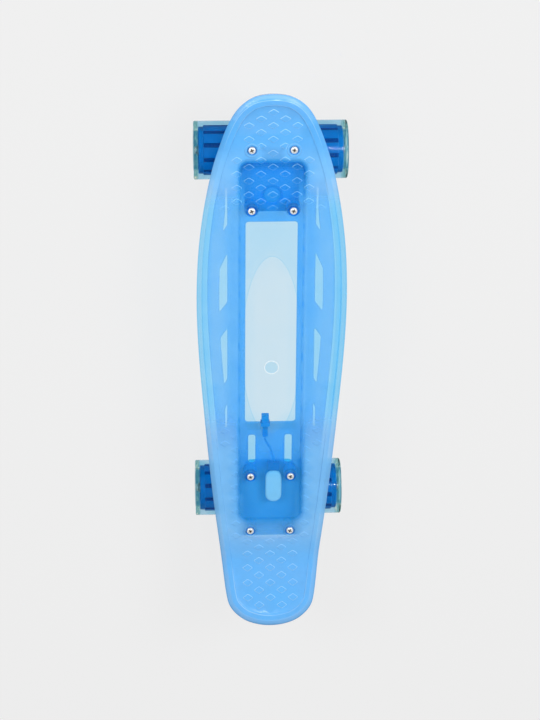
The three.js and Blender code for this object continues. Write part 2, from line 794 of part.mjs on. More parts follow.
function kingpinGeometry() {
  return turned([
    [0, kingpinTipZ],
    [kingpinRadius - kingpinTipChamfer, kingpinTipZ],
    [kingpinRadius, kingpinTipZ + kingpinTipChamfer],
    [kingpinRadius, headTopZ - kingpinHeadHeight],
    [kingpinHeadRadius, headTopZ - kingpinHeadHeight],
    [kingpinHeadRadius, headTopZ - kingpinTipChamfer],
    [kingpinHeadRadius - kingpinTipChamfer, headTopZ],
    [0, headTopZ],
  ], shaftSides);
}

// A bushing is a sleeve with a slight bulge, between two heights and two end radii
function bushingGeometry(low, high, lowRadius, highRadius) {
  const middleRadius = (lowRadius + highRadius) / 2 + bushingBulge;
  return turned([
    [kingpinBore, low],
    [lowRadius, low],
    [middleRadius, (low + high) / 2],
    [highRadius, high],
    [kingpinBore, high],
    [kingpinBore, low],
  ], shaftSides);
}

function hangerGeometry() {
  const beamY = axleInSteer.y;
  const beamZ = axleInSteer.z;
  const half = hangerWidth / 2;
  const beam = turned([
    [0, -half],
    [beamEndRadius, -half],
    [beamRadius, -wingFootWidth / 2],
    [beamRadius, wingFootWidth / 2],
    [beamEndRadius, half],
    [0, half],
  ], ringSides).rotateY(Math.PI / 2).translate(0, beamY, beamZ);
  const yokeSide = [
    [ringBoreRadius, -ringHeight / 2],
    [yokeInner - yokeEase, -ringHeight / 2],
    [yokeInner, -ringHeight / 2 - yokeEase],
    [yokeInner, beamZ + beamRadius],
    [beamY, beamZ - beamRadius / 2],
    [yokeOuter, beamZ],
    [yokeOuter, -yokeTop],
    [yokeOuter - yokeEase, yokeTop],
    [yokeInner + 2 * yokeEase, yokeTop],
    [yokeInner + yokeEase / 2, ringHeight / 2],
    [ringBoreRadius, ringHeight / 2],
  ];
  const yoke = extruded(polygonPath(new THREE.Shape(), yokeSide), -yokeWidth / 2, yokeWidth / 2)
    .rotateX(Math.PI / 2)
    .rotateZ(Math.PI / 2);
  const wingSide = [
    [-wingFootWidth / 2, beamZ],
    [wingFootWidth / 2, beamZ],
    [wingTopWidth / 2, -wingTopDrop],
    [-wingTopWidth / 2, -wingTopDrop],
  ];
  const wing = extruded(polygonPath(new THREE.Shape(), wingSide), -wingThickness / 2, wingThickness / 2)
    .rotateX(Math.PI / 2)
    .translate(0, beamY, 0);
  const ring = rod(ringRadius, -ringHeight / 2, ringHeight / 2, ringSides);
  const nose = alongSteer(rod(pivotRadius, beamY, pivotTipY, shaftSides));
  const ringBore = rod(ringBoreRadius, -ringHeight, ringHeight, ringSides);
  const axleBore = rod(axleRadius + runningGap, -half - overrun, half + overrun, shaftSides)
    .rotateY(Math.PI / 2)
    .translate(0, beamY, beamZ);
  return cut(joined(beam, yoke, wing, ring, nose), ringBore, axleBore);
}

// Wheels, drawn about their own middle with their axle along +Z, and turned to lie along X
const bearingInner = axleRadius + runningGap;
const bearingOuter = bearingRadius - seatGap;
const axleNutInnerX = wheelX + bearingSpan / 2 + seatGap;
const axleHalf = axleNutInnerX + axleNutHeight + axleProud;

function tyreGeometry() {
  const half = wheelWidth / 2;
  const channelRadius = corePanelRadius + seatGap;
  const channelHalf = coreLength / 2 + seatGap;
  const shoulderSteps = 2;
  const shoulder = Array.from({ length: shoulderSteps + 1 }, (_, i) => {
    const angle = (i / shoulderSteps) * (Math.PI / 2);
    return [
      wheelRadius - tyreShoulder + tyreShoulder * Math.cos(angle),
      half - tyreShoulder + tyreShoulder * Math.sin(angle),
    ];
  });
  const upper = [
    ...shoulder,
    [tyreMouthRadius, half],
    [tyreMouthRadius, channelHalf],
    [channelRadius, channelHalf],
  ];
  const lower = upper.map(([radius, height]) => [radius, -height]).reverse();
  return turned([...upper, ...lower, upper[0]], wheelSides);
}

function coreGeometry() {
  const half = coreLength / 2;
  const pitch = (Math.PI * 2) / corePanelCount;
  const outline = Array.from({ length: corePanelCount }, (_, i) => {
    const start = i * pitch;
    const end = start + pitch * panelShare;
    const middle = (start + end) / 2;
    return [
      ...[start, middle, end].map((angle) => [corePanelRadius, angle]),
      ...[end, start + pitch].map((angle) => [corePanelRadius - coreGrooveDepth, angle]),
    ];
  }).flat().map(([radius, angle]) => [radius * Math.cos(angle), radius * Math.sin(angle)]);
  const shape = polygonPath(new THREE.Shape(), outline);
  shape.holes.push(polygonPath(new THREE.Path(), ringOfPoints(bearingRadius, ringSides)));
  const rimInner = corePanelRadius - coreRimWall;
  const hubHalf = bearingSpan / 2 + seatGap;
  const pocket = turned([
    [0, hubHalf],
    [coreHubRadius, hubHalf],
    [coreHubRadius, coreWeb / 2],
    [rimInner, coreWeb / 2],
    [rimInner, half + overrun],
    [0, half + overrun],
  ], ringSides);
  return cut(extruded(shape, -half, half), pocket, pocket.clone().rotateX(Math.PI));
}

function bearingGeometry() {
  const outer = bearingSpan / 2;
  const inner = outer - bearingWidth;
  return turned([
    [bearingInner, -outer],
    [bearingOuter, -outer],
    [bearingOuter, -inner],
    [spacerRadius, -inner],
    [spacerRadius, inner],
    [bearingOuter, inner],
    [bearingOuter, outer],
    [bearingInner, outer],
    [bearingInner, -outer],
  ], shaftSides);
}

function addWheel(parent, place, side) {
  const wheel = new THREE.Group();
  wheel.position.set(side * wheelX, axleInTruck.y, axleInTruck.z);
  wheel.rotation.y = side * Math.PI / 2;
  parent.add(wheel);
  addMesh(wheel, `tyre_${place}`, tyreGeometry(), colours.tyreClear);
  addMesh(wheel, `wheel_core_${place}`, coreGeometry(), colours.coreBlue);
  addMesh(wheel, `bearing_set_${place}`, bearingGeometry(), colours.nutSteel);
  const nutLow = axleNutInnerX - wheelX;
  const nut = hexNut(axleNutFlats, axleRadius + runningGap, nutLow, nutLow + axleNutHeight);
  addMesh(wheel, `axle_nut_${place}`, nut, colours.nutSteel);
}

// A truck, drawn for the front end and turned half round for the rear
function addTruck(end, turn) {
  const truck = new THREE.Group();
  truck.position.set(0, truckMiddles[end], mountZ);
  truck.rotation.z = turn;
  board.add(truck);
  addMesh(truck, `baseplate_${end}`, baseplateGeometry(), colours.truckBlue);
  const steer = new THREE.Group();
  steer.position.set(0, steerY, steerZ);
  steer.rotation.x = steerAngle;
  truck.add(steer);
  addMesh(steer, `pivot_cup_${end}`, pivotCupGeometry(), colours.cupBlack);
  addMesh(steer, `kingpin_${end}`, kingpinGeometry(), colours.nutSteel);
  const boardBushing = bushingGeometry(
    boardBushingLowZ, boardBushingLowZ + boardBushingHeight, boardBushingRadius, boardBushingRadius,
  );
  addMesh(steer, `board_bushing_${end}`, boardBushing, colours.bushingBlue);
  const roadBushing = bushingGeometry(
    roadBushingLowZ, roadBushingTopZ, roadBushingTipRadius, roadBushingRadius,
  );
  addMesh(steer, `road_bushing_${end}`, roadBushing, colours.bushingBlue);
  const washer = tube(kingpinBore, roadBushingRadius, washerLowZ, washerTopZ, shaftSides);
  addMesh(steer, `kingpin_washer_${end}`, washer, colours.nutSteel);
  const nut = hexNut(kingpinNutFlats, kingpinBore, kingpinNutLowZ, kingpinNutTopZ);
  addMesh(steer, `kingpin_nut_${end}`, nut, colours.nutSteel);
  addMesh(steer, `hanger_${end}`, hangerGeometry(), colours.truckBlue);
  const axle = rod(axleRadius, -axleHalf, axleHalf, shaftSides, axleChamfer).rotateY(Math.PI / 2);
  addMesh(truck, `axle_${end}`, axle, colours.nutSteel).position.copy(axleInTruck);
  const rightSide = turn === 0 ? 1 : -1;
  addWheel(truck, `${end}_right`, rightSide);
  addWheel(truck, `${end}_left`, -rightSide);
}
addTruck('front', 0);
addTruck('rear', Math.PI);

// The origin goes to the ground, under the middle of the board's outline box
const outlineBox = new THREE.Box3().setFromObject(board, true);
const outlineMiddle = outlineBox.getCenter(new THREE.Vector3());
board.position.set(-outlineMiddle.x, -outlineMiddle.y, -outlineBox.min.z);

export default board;
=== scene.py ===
"""Cruiser skateboard: a translucent kicked deck, its undertray, light pod and switch, two trucks, four wheels.

Sizes below are in millimetres in the part's own frame; every mesh is scaled to metres when it is made.
"""

import functools
import math

import bmesh
import bpy
import numpy as np
from mathutils import Matrix, Vector
from mathutils.geometry import delaunay_2d_cdt


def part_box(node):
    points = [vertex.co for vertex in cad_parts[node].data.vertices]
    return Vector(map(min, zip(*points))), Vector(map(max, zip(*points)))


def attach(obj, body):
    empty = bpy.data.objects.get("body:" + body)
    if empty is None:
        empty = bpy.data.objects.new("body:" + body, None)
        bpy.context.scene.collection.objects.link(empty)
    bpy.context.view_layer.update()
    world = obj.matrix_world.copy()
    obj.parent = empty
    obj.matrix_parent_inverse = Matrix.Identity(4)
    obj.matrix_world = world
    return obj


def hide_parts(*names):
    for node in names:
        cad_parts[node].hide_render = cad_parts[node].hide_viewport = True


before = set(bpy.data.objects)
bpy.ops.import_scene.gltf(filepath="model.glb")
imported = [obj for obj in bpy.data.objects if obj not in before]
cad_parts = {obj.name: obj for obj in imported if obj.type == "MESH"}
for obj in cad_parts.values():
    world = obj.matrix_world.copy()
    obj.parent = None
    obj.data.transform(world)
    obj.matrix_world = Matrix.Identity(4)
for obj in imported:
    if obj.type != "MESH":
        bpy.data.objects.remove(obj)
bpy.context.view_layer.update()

MM = 0.001
MERGE = 0.004
BODY = "board"
# Point marks: dye tint, milk, whitening with painted highlights, and painted shade.
MARKS = ("tint", "milk", "whitening_and_highlight", "painted_shade")
PLAIN = (0.0, 1.0)

# Deck outline and kicks: length, bend radius and angle of each kick
HALF_LENGTH = 287.57
HALF_WIDTH = 75.2
FRONT_SETBACK = 89.4
TAIL_KICK = (79.2, 60.0, math.radians(24))
NOSE_KICK = (45.0, 120.0, math.radians(12))
OUTLINE_SHARES = [
    (-1, 0), (-0.996, 0.173), (-0.981, 0.358), (-0.954, 0.503), (-0.928, 0.576), (-0.901, 0.606),
    (-0.78, 0.67), (-0.528, 0.787), (-0.198, 0.906), (0.083, 0.984), (0.266, 1), (0.447, 0.967),
    (0.623, 0.875), (0.765, 0.751), (0.908, 0.547), (0.963, 0.399), (0.991, 0.23), (1, 0),
]
OUTLINE_STEP = 3.2

# Deck section, in insets from the outline and heights over the field, and the box under it
# A pair whose name ends in PAST reaches past the middle of the rear bolts, then of the front bolts
FIELD_INSET = 10.9
BORDER_END = 9.5
BORDER_HEIGHT = 0.97
BORDER_LINE = 0.95
EDGE_LINE = 0.32
EDGE_TURN = [
    (5.0, 0.0), (4.55, 0.1), (4.25, EDGE_LINE), (3.9, 0.54), (2.4, 1.5), (1.0, 2.7), (0.3, 3.6), (0.0, 4.6),
]
RIM_DEPTH = 12.0
RIM_TAPER = 3.5
RIM_FOOT = 2.6
RIM_WALL = 3.4
RIM_FILLET = 2.2
RIM_EASE = 0.6
OUTER_WALL = -4.5
INNER_ROWS = 4
SKIN = 4.0
BOX_DEPTH = 20.0
BOX_WIDTH = 66.0
BOX_WALL = 2.0
BOX_CORNER = 9.0
BOX_PAST = (26.6, 12.9)
BOX_SEEN_PAST = (18.0, 20.5)
WALL_STEP = 3.0
SEAM_STEP = 4.0
SEAM_OUT = (-1.5, 1.0, 3.5)

# Grip pattern
GRIP_PITCH = (11.8, 7.17)
GRIP_START = 0.2
GRIP_HALF = (5.7, 3.75)
GRIP_CORNER = 1.1
GRIP_BEVEL = 0.5
GRIP_HEIGHT = 0.45
GRIP_INSET = 12.2
GRIP_FROM_BOLT = 8.4
BOLT_NEAR = 25.0
GRIP_GAPS = (0.9, 1.2, 1.6)
GRIP_POINT_SHARE = 0.35
GRIP_SHRINK_SHARES = (1.6, 1.15, 0.3)
OVAL_LENGTH = 197.0
OVAL_WIDTH = 60.0
OVAL_AHEAD_REAR = 179.3
OVAL_DEPTH = 0.35
OVAL_RINGS = [(-0.6, 0.0, 0.0), (0.0, 0.0, 0.2), (0.35, -OVAL_DEPTH, 0.2), (0.9, -OVAL_DEPTH, 0.0)]
OVAL_MARGIN = (5.5, 4.5)
OVAL_GRID = (14.0, 12.0, 84.0)
OVAL_LOOK = (0.125, 0.03)
GATE_AHEAD_REAR = 156.0
GATE_RADIUS = 7.0
GATE_DEPTH = 0.5
GATE_SECTION = [(-0.55, -0.3), (-0.4, 0.0), (0.4, 0.0), (0.55, -0.3)]

# Bolt places: rings of radius, height, added tint and painted highlight; the highlight lights the boss's
# shoulder, and the deeper tint at the boss's foot and in the recess round the head is painted shade
BOSS_RADIUS = 7.0
BOSS_HEIGHT = 0.8
RECESS_RADIUS = 5.0
RECESS_DEPTH = 1.6
RECESS_SHADE_TINT = 0.8
BOLT_HOLE = 2.75
BOLT_RINGS = [
    (BOSS_RADIUS + 0.4, 0.0, 0.1, 0.0), (BOSS_RADIUS, 0.5, 0.0, 0.2),
    (BOSS_RADIUS - 0.3, BOSS_HEIGHT, 0.0, 0.2), (BOSS_RADIUS - 0.7, BOSS_HEIGHT, 0.0, 0.0),
    (RECESS_RADIUS + 0.4, BOSS_HEIGHT, 0.1, 0.0),
    (RECESS_RADIUS, 0.45, RECESS_SHADE_TINT, 0.0), (RECESS_RADIUS - 0.15, -RECESS_DEPTH, RECESS_SHADE_TINT, 0.0),
    (BOLT_HOLE, -RECESS_DEPTH, RECESS_SHADE_TINT, 0.0),
]

# Tray
TRAY_INSET = 11.0
TRAY_THICKNESS = 3.0
TRAY_PAST = (46.2, 40.2)
TRAY_CORNER = 12.0
TRAY_EDGE = 0.6
TRAY_GRID = (5.0, 6.0)
WINDOW_WIDTH = 51.8
WINDOW_BEHIND_FRONT = 49.6
WINDOW_AHEAD_REAR = 86.2
WINDOW_CORNER = 3.0
SLOT_EDGE = 23.1
SLOT_WIDTH = 7.9
SLOT_LEAST = 2.0
SLOT_CORNER = 2.0
SLOT_SHARES = [
    (0.645, 0.641, 0.504, 0.481),
    (0.399, 0.342, 0.214, 0.177),
    (0.114, 0.08, -0.083, -0.103),
    (-0.181, -0.199, -0.27, -0.278),
]
FLOOR_SLOT_WIDTH = 7.4
FLOOR_SLOT_OFFSET = 18.8
FLOOR_SLOT_GAP = 14.5
FLOOR_SLOT_CORNER = 2.4
FLOOR_SLOT_PAST_BOSS = 0.5
KING_RING_BEHIND = 21.3
KING_RING_RADII = (0.1, 5.0, 7.6, 8.4, 10.4, 11.4)
KING_RING_CLEAR = 12.5
CROSS_WALL = 2.5
CROSS_EASE = 0.3
CROSS_LOOK = (0.03, 0.05)
STEM_ROOM = 2.9

# Truck frames
STEER_ANGLE = math.radians(20)
STEER_Y = -13.698
STEER_Z = -22.562

# Where the looks change along the deck, measured from the middle of the front or the rear bolts
FRONT_PLACES = {
    "cloud": (-38, 12), "bloom": (-55, -5), "kick": (8, 45), "line_highlight": (20, 60),
    "grip_highlight": (-45, -20), "box": (-40, -28), "nose_box": (-4, 12), "gap": (37, 33),
    "tray_cloud": (-42, 2), "tray": (-38, 6),
}
REAR_PLACES = {
    "cloud": (125, 50), "bloom": (135, 92), "kick": (-25, -70), "line_highlight": (-60, -90),
    "grip_highlight": (-30, -70), "box": (80, 36), "strips": (104, 78), "strips_end": (28, 44),
    "plate": (-47, -33), "plate_end": (2, -4),
    "tray_cloud": (115, 55), "tray": (60, 25),
}
# Where they change across it, from the box walls, the middle line, the rim or the kingpin ring's middle
ACROSS_PLACES = {
    "seam": (-1.0, 3.0), "bloom": (0.0, 9.0), "gap": (12.5, 9.5), "plate": (36, 20), "right": (8, 30),
    "rim": (0.8, -0.8), "tray_seam": (-1, 2), "tray_flank": (4, 20),
    "band": (7.6, 8.4), "band_end": (11.4, 10.4), "disc": (8.0, 7.0),
}
# The right tint is painted shade on the deck's right flank.
DECK_TINT = {
    "whole": 0.22, "flank": 0.12, "rim": 0.19, "strips": 0.18, "front_box": 0.02, "nose_box": 0.22,
    "right": 0.07,
}
DECK_MILK = {"whole": 0.06, "flank": 0.03, "clear_rim": 0.06, "rear_box": 0.08, "cloud": 0.73}
CLOUD_GAP, CLOUD_PLATE = 0.3, 0.72
DECK_BLOOM = 0.17
WALL_TINT_SHARE, WALL_MILK_SHARE = 0.6, 0.5
# Painted highlight lines: on the edge's turn in the nose, and on the border's inner line in the nose and tail
EDGE_HIGHLIGHT, NOSE_LINE_HIGHLIGHT, TAIL_LINE_HIGHLIGHT = 0.45, 0.2, 0.4
# Painted highlight on the grip's bevels: a little everywhere, and more in the nose and tail
GRIP_HIGHLIGHT = (0.06, 0.75)
TRAY_TINT = {"whole": 0.48, "front": 0.62, "rear": 0.02, "band": 0.3, "disc": -0.4}
TRAY_MILK = {"whole": 0.32, "front": 0.4, "rear": 0.38, "band": -0.14, "disc": 0.08}
FLANK_TINT = {"whole": 0.22, "outwards": -0.14}
FLANK_MILK = {"whole": 0.25, "outwards": -0.06}
TRAY_CLOUD_MILK = 0.6
BOSS_LOOK = (0.3, 0.65)
TOUCH_TINT, WALL_TINT, WALL_MILK = 0.9, 0.1, 0.1


def node_box(name):
    low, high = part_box(name)
    return np.array(low) / MM, np.array(high) / MM


def node_middle(name):
    low, high = node_box(name)
    return (low + high) / 2


BOLTS = {
    f"{end}_{row}_{side}": node_middle(f"deck_bolt_{end}_{row}_{side}")
    for end in ("front", "rear") for row in ("nose", "tail") for side in ("left", "right")
}
FRONT_Y = np.mean([place[1] for name, place in BOLTS.items() if name.startswith("front")])
REAR_Y = np.mean([place[1] for name, place in BOLTS.items() if name.startswith("rear")])
TRAY_LOW = node_box("undertray")[0][2]
TRAY_TOP = TRAY_LOW + TRAY_THICKNESS
DECK_Z = TRAY_LOW + BOX_DEPTH
DECK_Y = FRONT_Y - (HALF_LENGTH - FRONT_SETBACK)
KING_RING_Y = FRONT_Y - KING_RING_BEHIND
ROOM_Z = (TRAY_TOP + DECK_Z - SKIN) / 2
OVAL_Y = REAR_Y + OVAL_AHEAD_REAR
GATE = (0.0, REAR_Y + GATE_AHEAD_REAR)
WINDOW = (REAR_Y + WINDOW_AHEAD_REAR, FRONT_Y - WINDOW_BEHIND_FRONT)


# Meshes
def weld(mesh):
    """Joins points that coincide, drops loose ones and turns the faces outwards."""
    work = bmesh.new()
    work.from_mesh(mesh)
    bmesh.ops.remove_doubles(work, verts=work.verts, dist=MERGE * MM)
    loose = [vert for vert in work.verts if not vert.link_faces]
    bmesh.ops.delete(work, geom=loose, context="VERTS")
    bmesh.ops.recalc_face_normals(work, faces=work.faces)
    work.to_mesh(mesh)
    work.free()


class Mesher:
    """Gathers points and faces in millimetres, and makes one object of them in metres.

    A mark is a point's tint, milk, whitening and painted shade: how deep its dye looks (on the tyres, where
    the lips' painted refraction colour goes), how much light the plastic scatters, how much its surface
    whitens or carries a painted highlight, and how much painted shade darkens its hollows.
    """

    def __init__(self):
        self.points = []
        self.faces = []
        self.marks = []

    def add(self, points, faces, mark=PLAIN):
        first = len(self.points)
        self.points += [tuple(point) for point in points]
        self.marks += list(mark) if np.ndim(mark) == 2 else [mark] * len(points)
        self.faces += [tuple(first + i for i in face) for face in faces]

    def loops(self, loops, along=False, mark=PLAIN):
        """A skin through closed loops of as many points each; along joins the last loop to the first."""
        count = len(loops[0])
        faces = []
        for row in range(len(loops) if along else len(loops) - 1):
            a, b = row * count, ((row + 1) % len(loops)) * count
            for i in range(count):
                j = (i + 1) % count
                faces.append((a + i, a + j, b + j, b + i))
        self.add([point for loop in loops for point in loop], faces, mark)

    def cap(self, loop, flip=False, mark=PLAIN):
        order = range(len(loop))
        self.add(loop, [tuple(reversed(order)) if flip else tuple(order)], mark)

    def capped(self, loops, mark=PLAIN):
        """A skin through loops that is closed at both ends."""
        self.loops(loops, mark=mark)
        self.cap(loops[0], mark=mark)
        self.cap(loops[-1], flip=True, mark=mark)

    def mesh(self, name):
        mesh = bpy.data.meshes.new(name)
        mesh.from_pydata([tuple(c * MM for c in point) for point in self.points], [], self.faces)
        marks = np.array([(tuple(mark) + (0.0, 0.0))[:len(MARKS)] for mark in self.marks], dtype=np.float32)
        for column, key in enumerate(MARKS):
            attribute = mesh.attributes.new(key, "FLOAT", "POINT")
            attribute.data.foreach_set("value", marks[:, column].copy())
        weld(mesh)
        return mesh

    def make(self, name, material, slot, replaces=(), body=BODY, smooth=35.0):
        place(self.mesh(name), name, material, slot, replaces, body, smooth)


def link(piece):
    """Puts an object in the scene."""
    bpy.context.scene.collection.objects.link(piece)
    return piece


def place(mesh, name, material, slot, replaces=(), body=BODY, smooth=35.0):
    mesh.shade_smooth()
    mesh.set_sharp_from_angle(angle=math.radians(smooth))
    mesh.materials.clear()
    mesh.materials.append(MATERIALS[material])
    piece = link(bpy.data.objects.new(name, mesh))
    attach(piece, body)
    if replaces:
        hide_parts(*replaces)


def turns(count):
    """Angles at even steps round a circle."""
    return np.arange(count) / count * 2 * math.pi


def arc(middle, radius, angles):
    return [(middle[0] + radius * math.cos(a), middle[1] + radius * math.sin(a)) for a in angles]


def circle(radius, count, middle=(0.0, 0.0)):
    return arc(middle, radius, turns(count))


def round_rectangle(left, right, low, high, radius, steps=6):
    """Points of a rectangle with round corners, anticlockwise."""
    left, right, low, high = left + radius, right - radius, low + radius, high - radius
    points = []
    for x, y, start in (right, low, -0.5), (right, high, 0.0), (left, high, 0.5), (left, low, 1.0):
        points += arc((x, y), radius, [(start + 0.5 * i / steps) * math.pi for i in range(steps + 1)])
    return points


def offset(loop, distance):
    """A closed anticlockwise loop moved inwards by a distance."""
    points = np.array(loop)
    ahead = np.roll(points, -1, axis=0) - points
    ahead /= np.maximum(np.linalg.norm(ahead, axis=1), 1e-9)[:, None]
    behind = np.roll(ahead, 1, axis=0)
    inward = np.stack([-(ahead[:, 1] + behind[:, 1]), ahead[:, 0] + behind[:, 0]], axis=1)
    scale = 2 / np.maximum((inward ** 2).sum(axis=1), 0.5)
    return [tuple(point) for point in points + inward * scale[:, None] * distance]


def sides(loop):
    """Pairs of neighbouring points all round a closed loop."""
    return zip(loop, loop[1:] + loop[:1])


def along(loop, step):
    """A closed loop with points at most about a step apart."""
    out = []
    for (ax, ay), (bx, by) in sides(loop):
        count = max(1, round(math.hypot(bx - ax, by - ay) / step))
        out += [(ax + (bx - ax) * i / count, ay + (by - ay) * i / count) for i in range(count)]
    return out


def inside(point, loop):
    """Whether a point lies inside a closed loop."""
    x, y = point
    odd = False
    for (ax, ay), (bx, by) in sides(loop):
        if (ay > y) != (by > y) and x < (bx - ax) * (y - ay) / (by - ay) + ax:
            odd = not odd
    return odd


def within(point, rim, holes):
    return inside(point, rim) and not any(inside(point, hole) for hole in holes)


def field(loops, singles, holes):
    """Triangles inside the first loop and outside the holes, over the loops' edges and single points."""
    points, edges = [], []
    for loop in loops:
        first = len(points)
        points += loop
        edges += [(first + i, first + (i + 1) % len(loop)) for i in range(len(loop))]
    points += singles
    made, _, faces, sources, *_ = delaunay_2d_cdt([Vector(point) for point in points], edges, [], 0, 1e-6)
    made = [tuple(map(float, points[source[0]] if source else vert)) for vert, source in zip(made, sources)]

    def kept(face):
        return within([sum(made[i][k] for i in face) / 3 for k in (0, 1)], loops[0], holes)

    return made, [tuple(face) for face in faces if kept(face)]


def spline(points, step, dense_steps=24):
    """Points at even steps along a closed centripetal Catmull-Rom curve."""
    points = np.array(points, dtype=float)
    count = len(points)
    dense = []
    for i in range(count):
        p0, p1, p2, p3 = (points[(i + k) % count] for k in (-1, 0, 1, 2))
        d0, d1, d2 = (max(np.linalg.norm(b - a) ** 0.5, 1e-6) for a, b in ((p0, p1), (p1, p2), (p2, p3)))
        t1 = ((p1 - p0) / d0 - (p2 - p0) / (d0 + d1) + (p2 - p1) / d1) * d1
        t2 = ((p2 - p1) / d1 - (p3 - p1) / (d1 + d2) + (p3 - p2) / d2) * d1
        for t in np.linspace(0, 1, dense_steps, endpoint=False):
            squared, cubed = 3 * (p2 - p1) - 2 * t1 - t2, 2 * (p1 - p2) + t1 + t2
            dense.append(p1 + t1 * t + squared * t ** 2 + cubed * t ** 3)
    dense = np.array(dense + dense[:1])
    lengths = np.concatenate([[0], np.cumsum(np.linalg.norm(np.diff(dense, axis=0), axis=1))])
    places = np.linspace(0, lengths[-1], int(lengths[-1] / step / 2) * 2, endpoint=False)
    return np.stack([np.interp(places, lengths, dense[:, k]) for k in (0, 1)], axis=1)


RIGHT_SIDE = [(across * HALF_WIDTH, ahead * HALF_LENGTH + DECK_Y) for ahead, across in OUTLINE_SHARES]
LEFT_SIDE = [(-x, y) for x, y in RIGHT_SIDE[1:-1]][::-1]
OUTLINE = [tuple(point) for point in spline(RIGHT_SIDE + LEFT_SIDE, OUTLINE_STEP)]


def outline(inset):
    return offset(OUTLINE, inset) if inset else OUTLINE


@functools.cache
def right_side(inset):
    """Places along the deck and half widths of the inset outline."""
    return np.array(sorted((y, x) for x, y in outline(inset) if x > 0)).T


def half_width(y, inset=0.0):
    return float(np.interp(y, *right_side(inset)))


def kick(y):
    """Rise and slope of the deck at one place along it."""
    tail = y < DECK_Y
    length, radius, angle = TAIL_KICK if tail else NOSE_KICK
    run = abs(y - DECK_Y) - (HALF_LENGTH - length)
    if run <= 0:
        return 0.0, 0.0
    bend = radius * math.sin(angle)
    slope = math.asin(run / radius) if run < bend else angle
    rise = radius * (1 - math.cos(slope)) + max(0.0, run - bend) * math.tan(angle)
    return rise, -slope if tail else slope


def bent(point, height):
    """A place on the deck, a height above its top surface."""
    rise, slope = kick(point[1])
    return point[0], point[1] - height * math.sin(slope), DECK_Z + rise + height * math.cos(slope)


# Materials
GRAIN_METRES = 0.00003
PLASTIC_GRAIN_METRES = 0.00002
RUBBER_WAVE_METRES = 0.00012
# Pale blue blended in by the whitening mark: painted highlights on the deck, and a whitening of its flanks
# over the wheels
WHITENING_AND_HIGHLIGHT_COLOUR = (0.6, 0.9, 1.0)
# Painted on the tyres' lips: a teal colour standing in for refraction, and yellowish painted highlight streaks
LIP_REFRACTION_COLOUR = (0.14, 0.4, 0.44)
LIP_HIGHLIGHT_STREAK = (0.68, 0.74, 0.6)
RUBBER_SHADE = (0.83, 0.94, 0.97)
RUBBER_IOR = 1.05
MIX_COLOURS = (6, 7)
MIX_RESULT = 2


def set_inputs(tree, node, inputs):
    """Links or sets a node's inputs; a colour is given as three numbers."""
    for key, value in inputs.items():
        socket = node.inputs[key]
        if isinstance(value, bpy.types.NodeSocket):
            tree.links.new(value, socket)
        else:
            socket.default_value = (*value, 1.0) if socket.type == "RGBA" else value


def add_node(tree, kind, inputs=None, **settings):
    made = tree.nodes.new("ShaderNode" + kind)
    for key, value in settings.items():
        setattr(made, key, value)
    set_inputs(tree, made, inputs or {})
    return made


def node_tree(name):
    material = bpy.data.materials.new(name)
    material.use_nodes = True
    tree = material.node_tree
    return material, tree, tree.nodes["Principled BSDF"]


def show(tree, shader):
    """Puts a shader on the surface."""
    set_inputs(tree, tree.nodes["Material Output"], {"Surface": shader})


def marked(tree, name):
    """The value of a mark at the point that is shaded."""
    return add_node(tree, "Attribute", attribute_name=name).outputs["Fac"]


def combined(tree, operation, first, second, clamped=False):
    return add_node(tree, "Math", {0: first, 1: second}, operation=operation, use_clamp=clamped).outputs[0]


def noise(tree, scale, detail=3.0, stretch=(1.0, 1.0, 1.0)):
    """A noise texture over the piece's own coordinates, in features per metre."""
    coordinates = add_node(tree, "TexCoord").outputs["Object"]
    mapping = add_node(tree, "Mapping", {"Vector": coordinates, "Scale": stretch})
    inputs = {"Vector": mapping.outputs[0], "Scale": scale, "Detail": detail, "Roughness": 0.55}
    return add_node(tree, "TexNoise", inputs).outputs["Fac"]


def spread(tree, value, low=0.0, high=1.0, start=0.3, end=0.7):
    inputs = {"Value": value, "From Min": start, "From Max": end, "To Min": low, "To Max": high}
    return add_node(tree, "MapRange", inputs).outputs["Result"]


def blend_colours(tree, factor, first, second):
    inputs = {0: factor, MIX_COLOURS[0]: first, MIX_COLOURS[1]: second}
    return add_node(tree, "Mix", inputs, data_type="RGBA").outputs[MIX_RESULT]


def mix_shaders(tree, share, first, second):
    return add_node(tree, "MixShader", {0: share, 1: first, 2: second}).outputs[0]


def bumped(tree, height, distance):
    return add_node(tree, "Bump", {"Height": height, "Distance": distance, "Strength": 1.0}).outputs["Normal"]


def surface(name, colour, metallic=0.0, rough=(0.3, 0.4), tint=0.08, grain=400.0, bump=GRAIN_METRES, coat=0.0,
            specular=0.5, shade_colour=None):
    """A finish whose colour clouds slightly, whose gloss varies, and whose surface has a fine grain; a shade
    colour, where given, is painted shade blended in by the painted-shade mark.
    """
    material, tree, shader = node_tree(name)
    darker = tuple(c * (1 - tint) for c in colour)
    lighter = tuple(min(1.0, c * (1 + tint)) for c in colour)
    base = blend_colours(tree, spread(tree, noise(tree, 60.0)), darker, lighter)
    # Painted shade: the colour darkens towards the shade colour where the painted-shade mark is set.
    if shade_colour:
        base = blend_colours(tree, spread(tree, marked(tree, "painted_shade"), start=0.05, end=0.5), base, shade_colour)
    fine = noise(tree, grain)
    set_inputs(tree, shader, {
        "Base Color": base, "Roughness": spread(tree, fine, *rough), "Normal": bumped(tree, fine, bump),
        "Metallic": metallic, "Coat Weight": coat, "Specular IOR Level": specular,
    })
    return material


def gloss_share(tree, straight, grazing):
    """Share of light that a surface mirrors, from straight on to grazing, rising as Schlick gives it."""
    facing = add_node(tree, "LayerWeight", {"Blend": 0.5}).outputs["Facing"]
    return spread(tree, combined(tree, "POWER", facing, 5.0), straight, grazing, 0.0, 1.0)


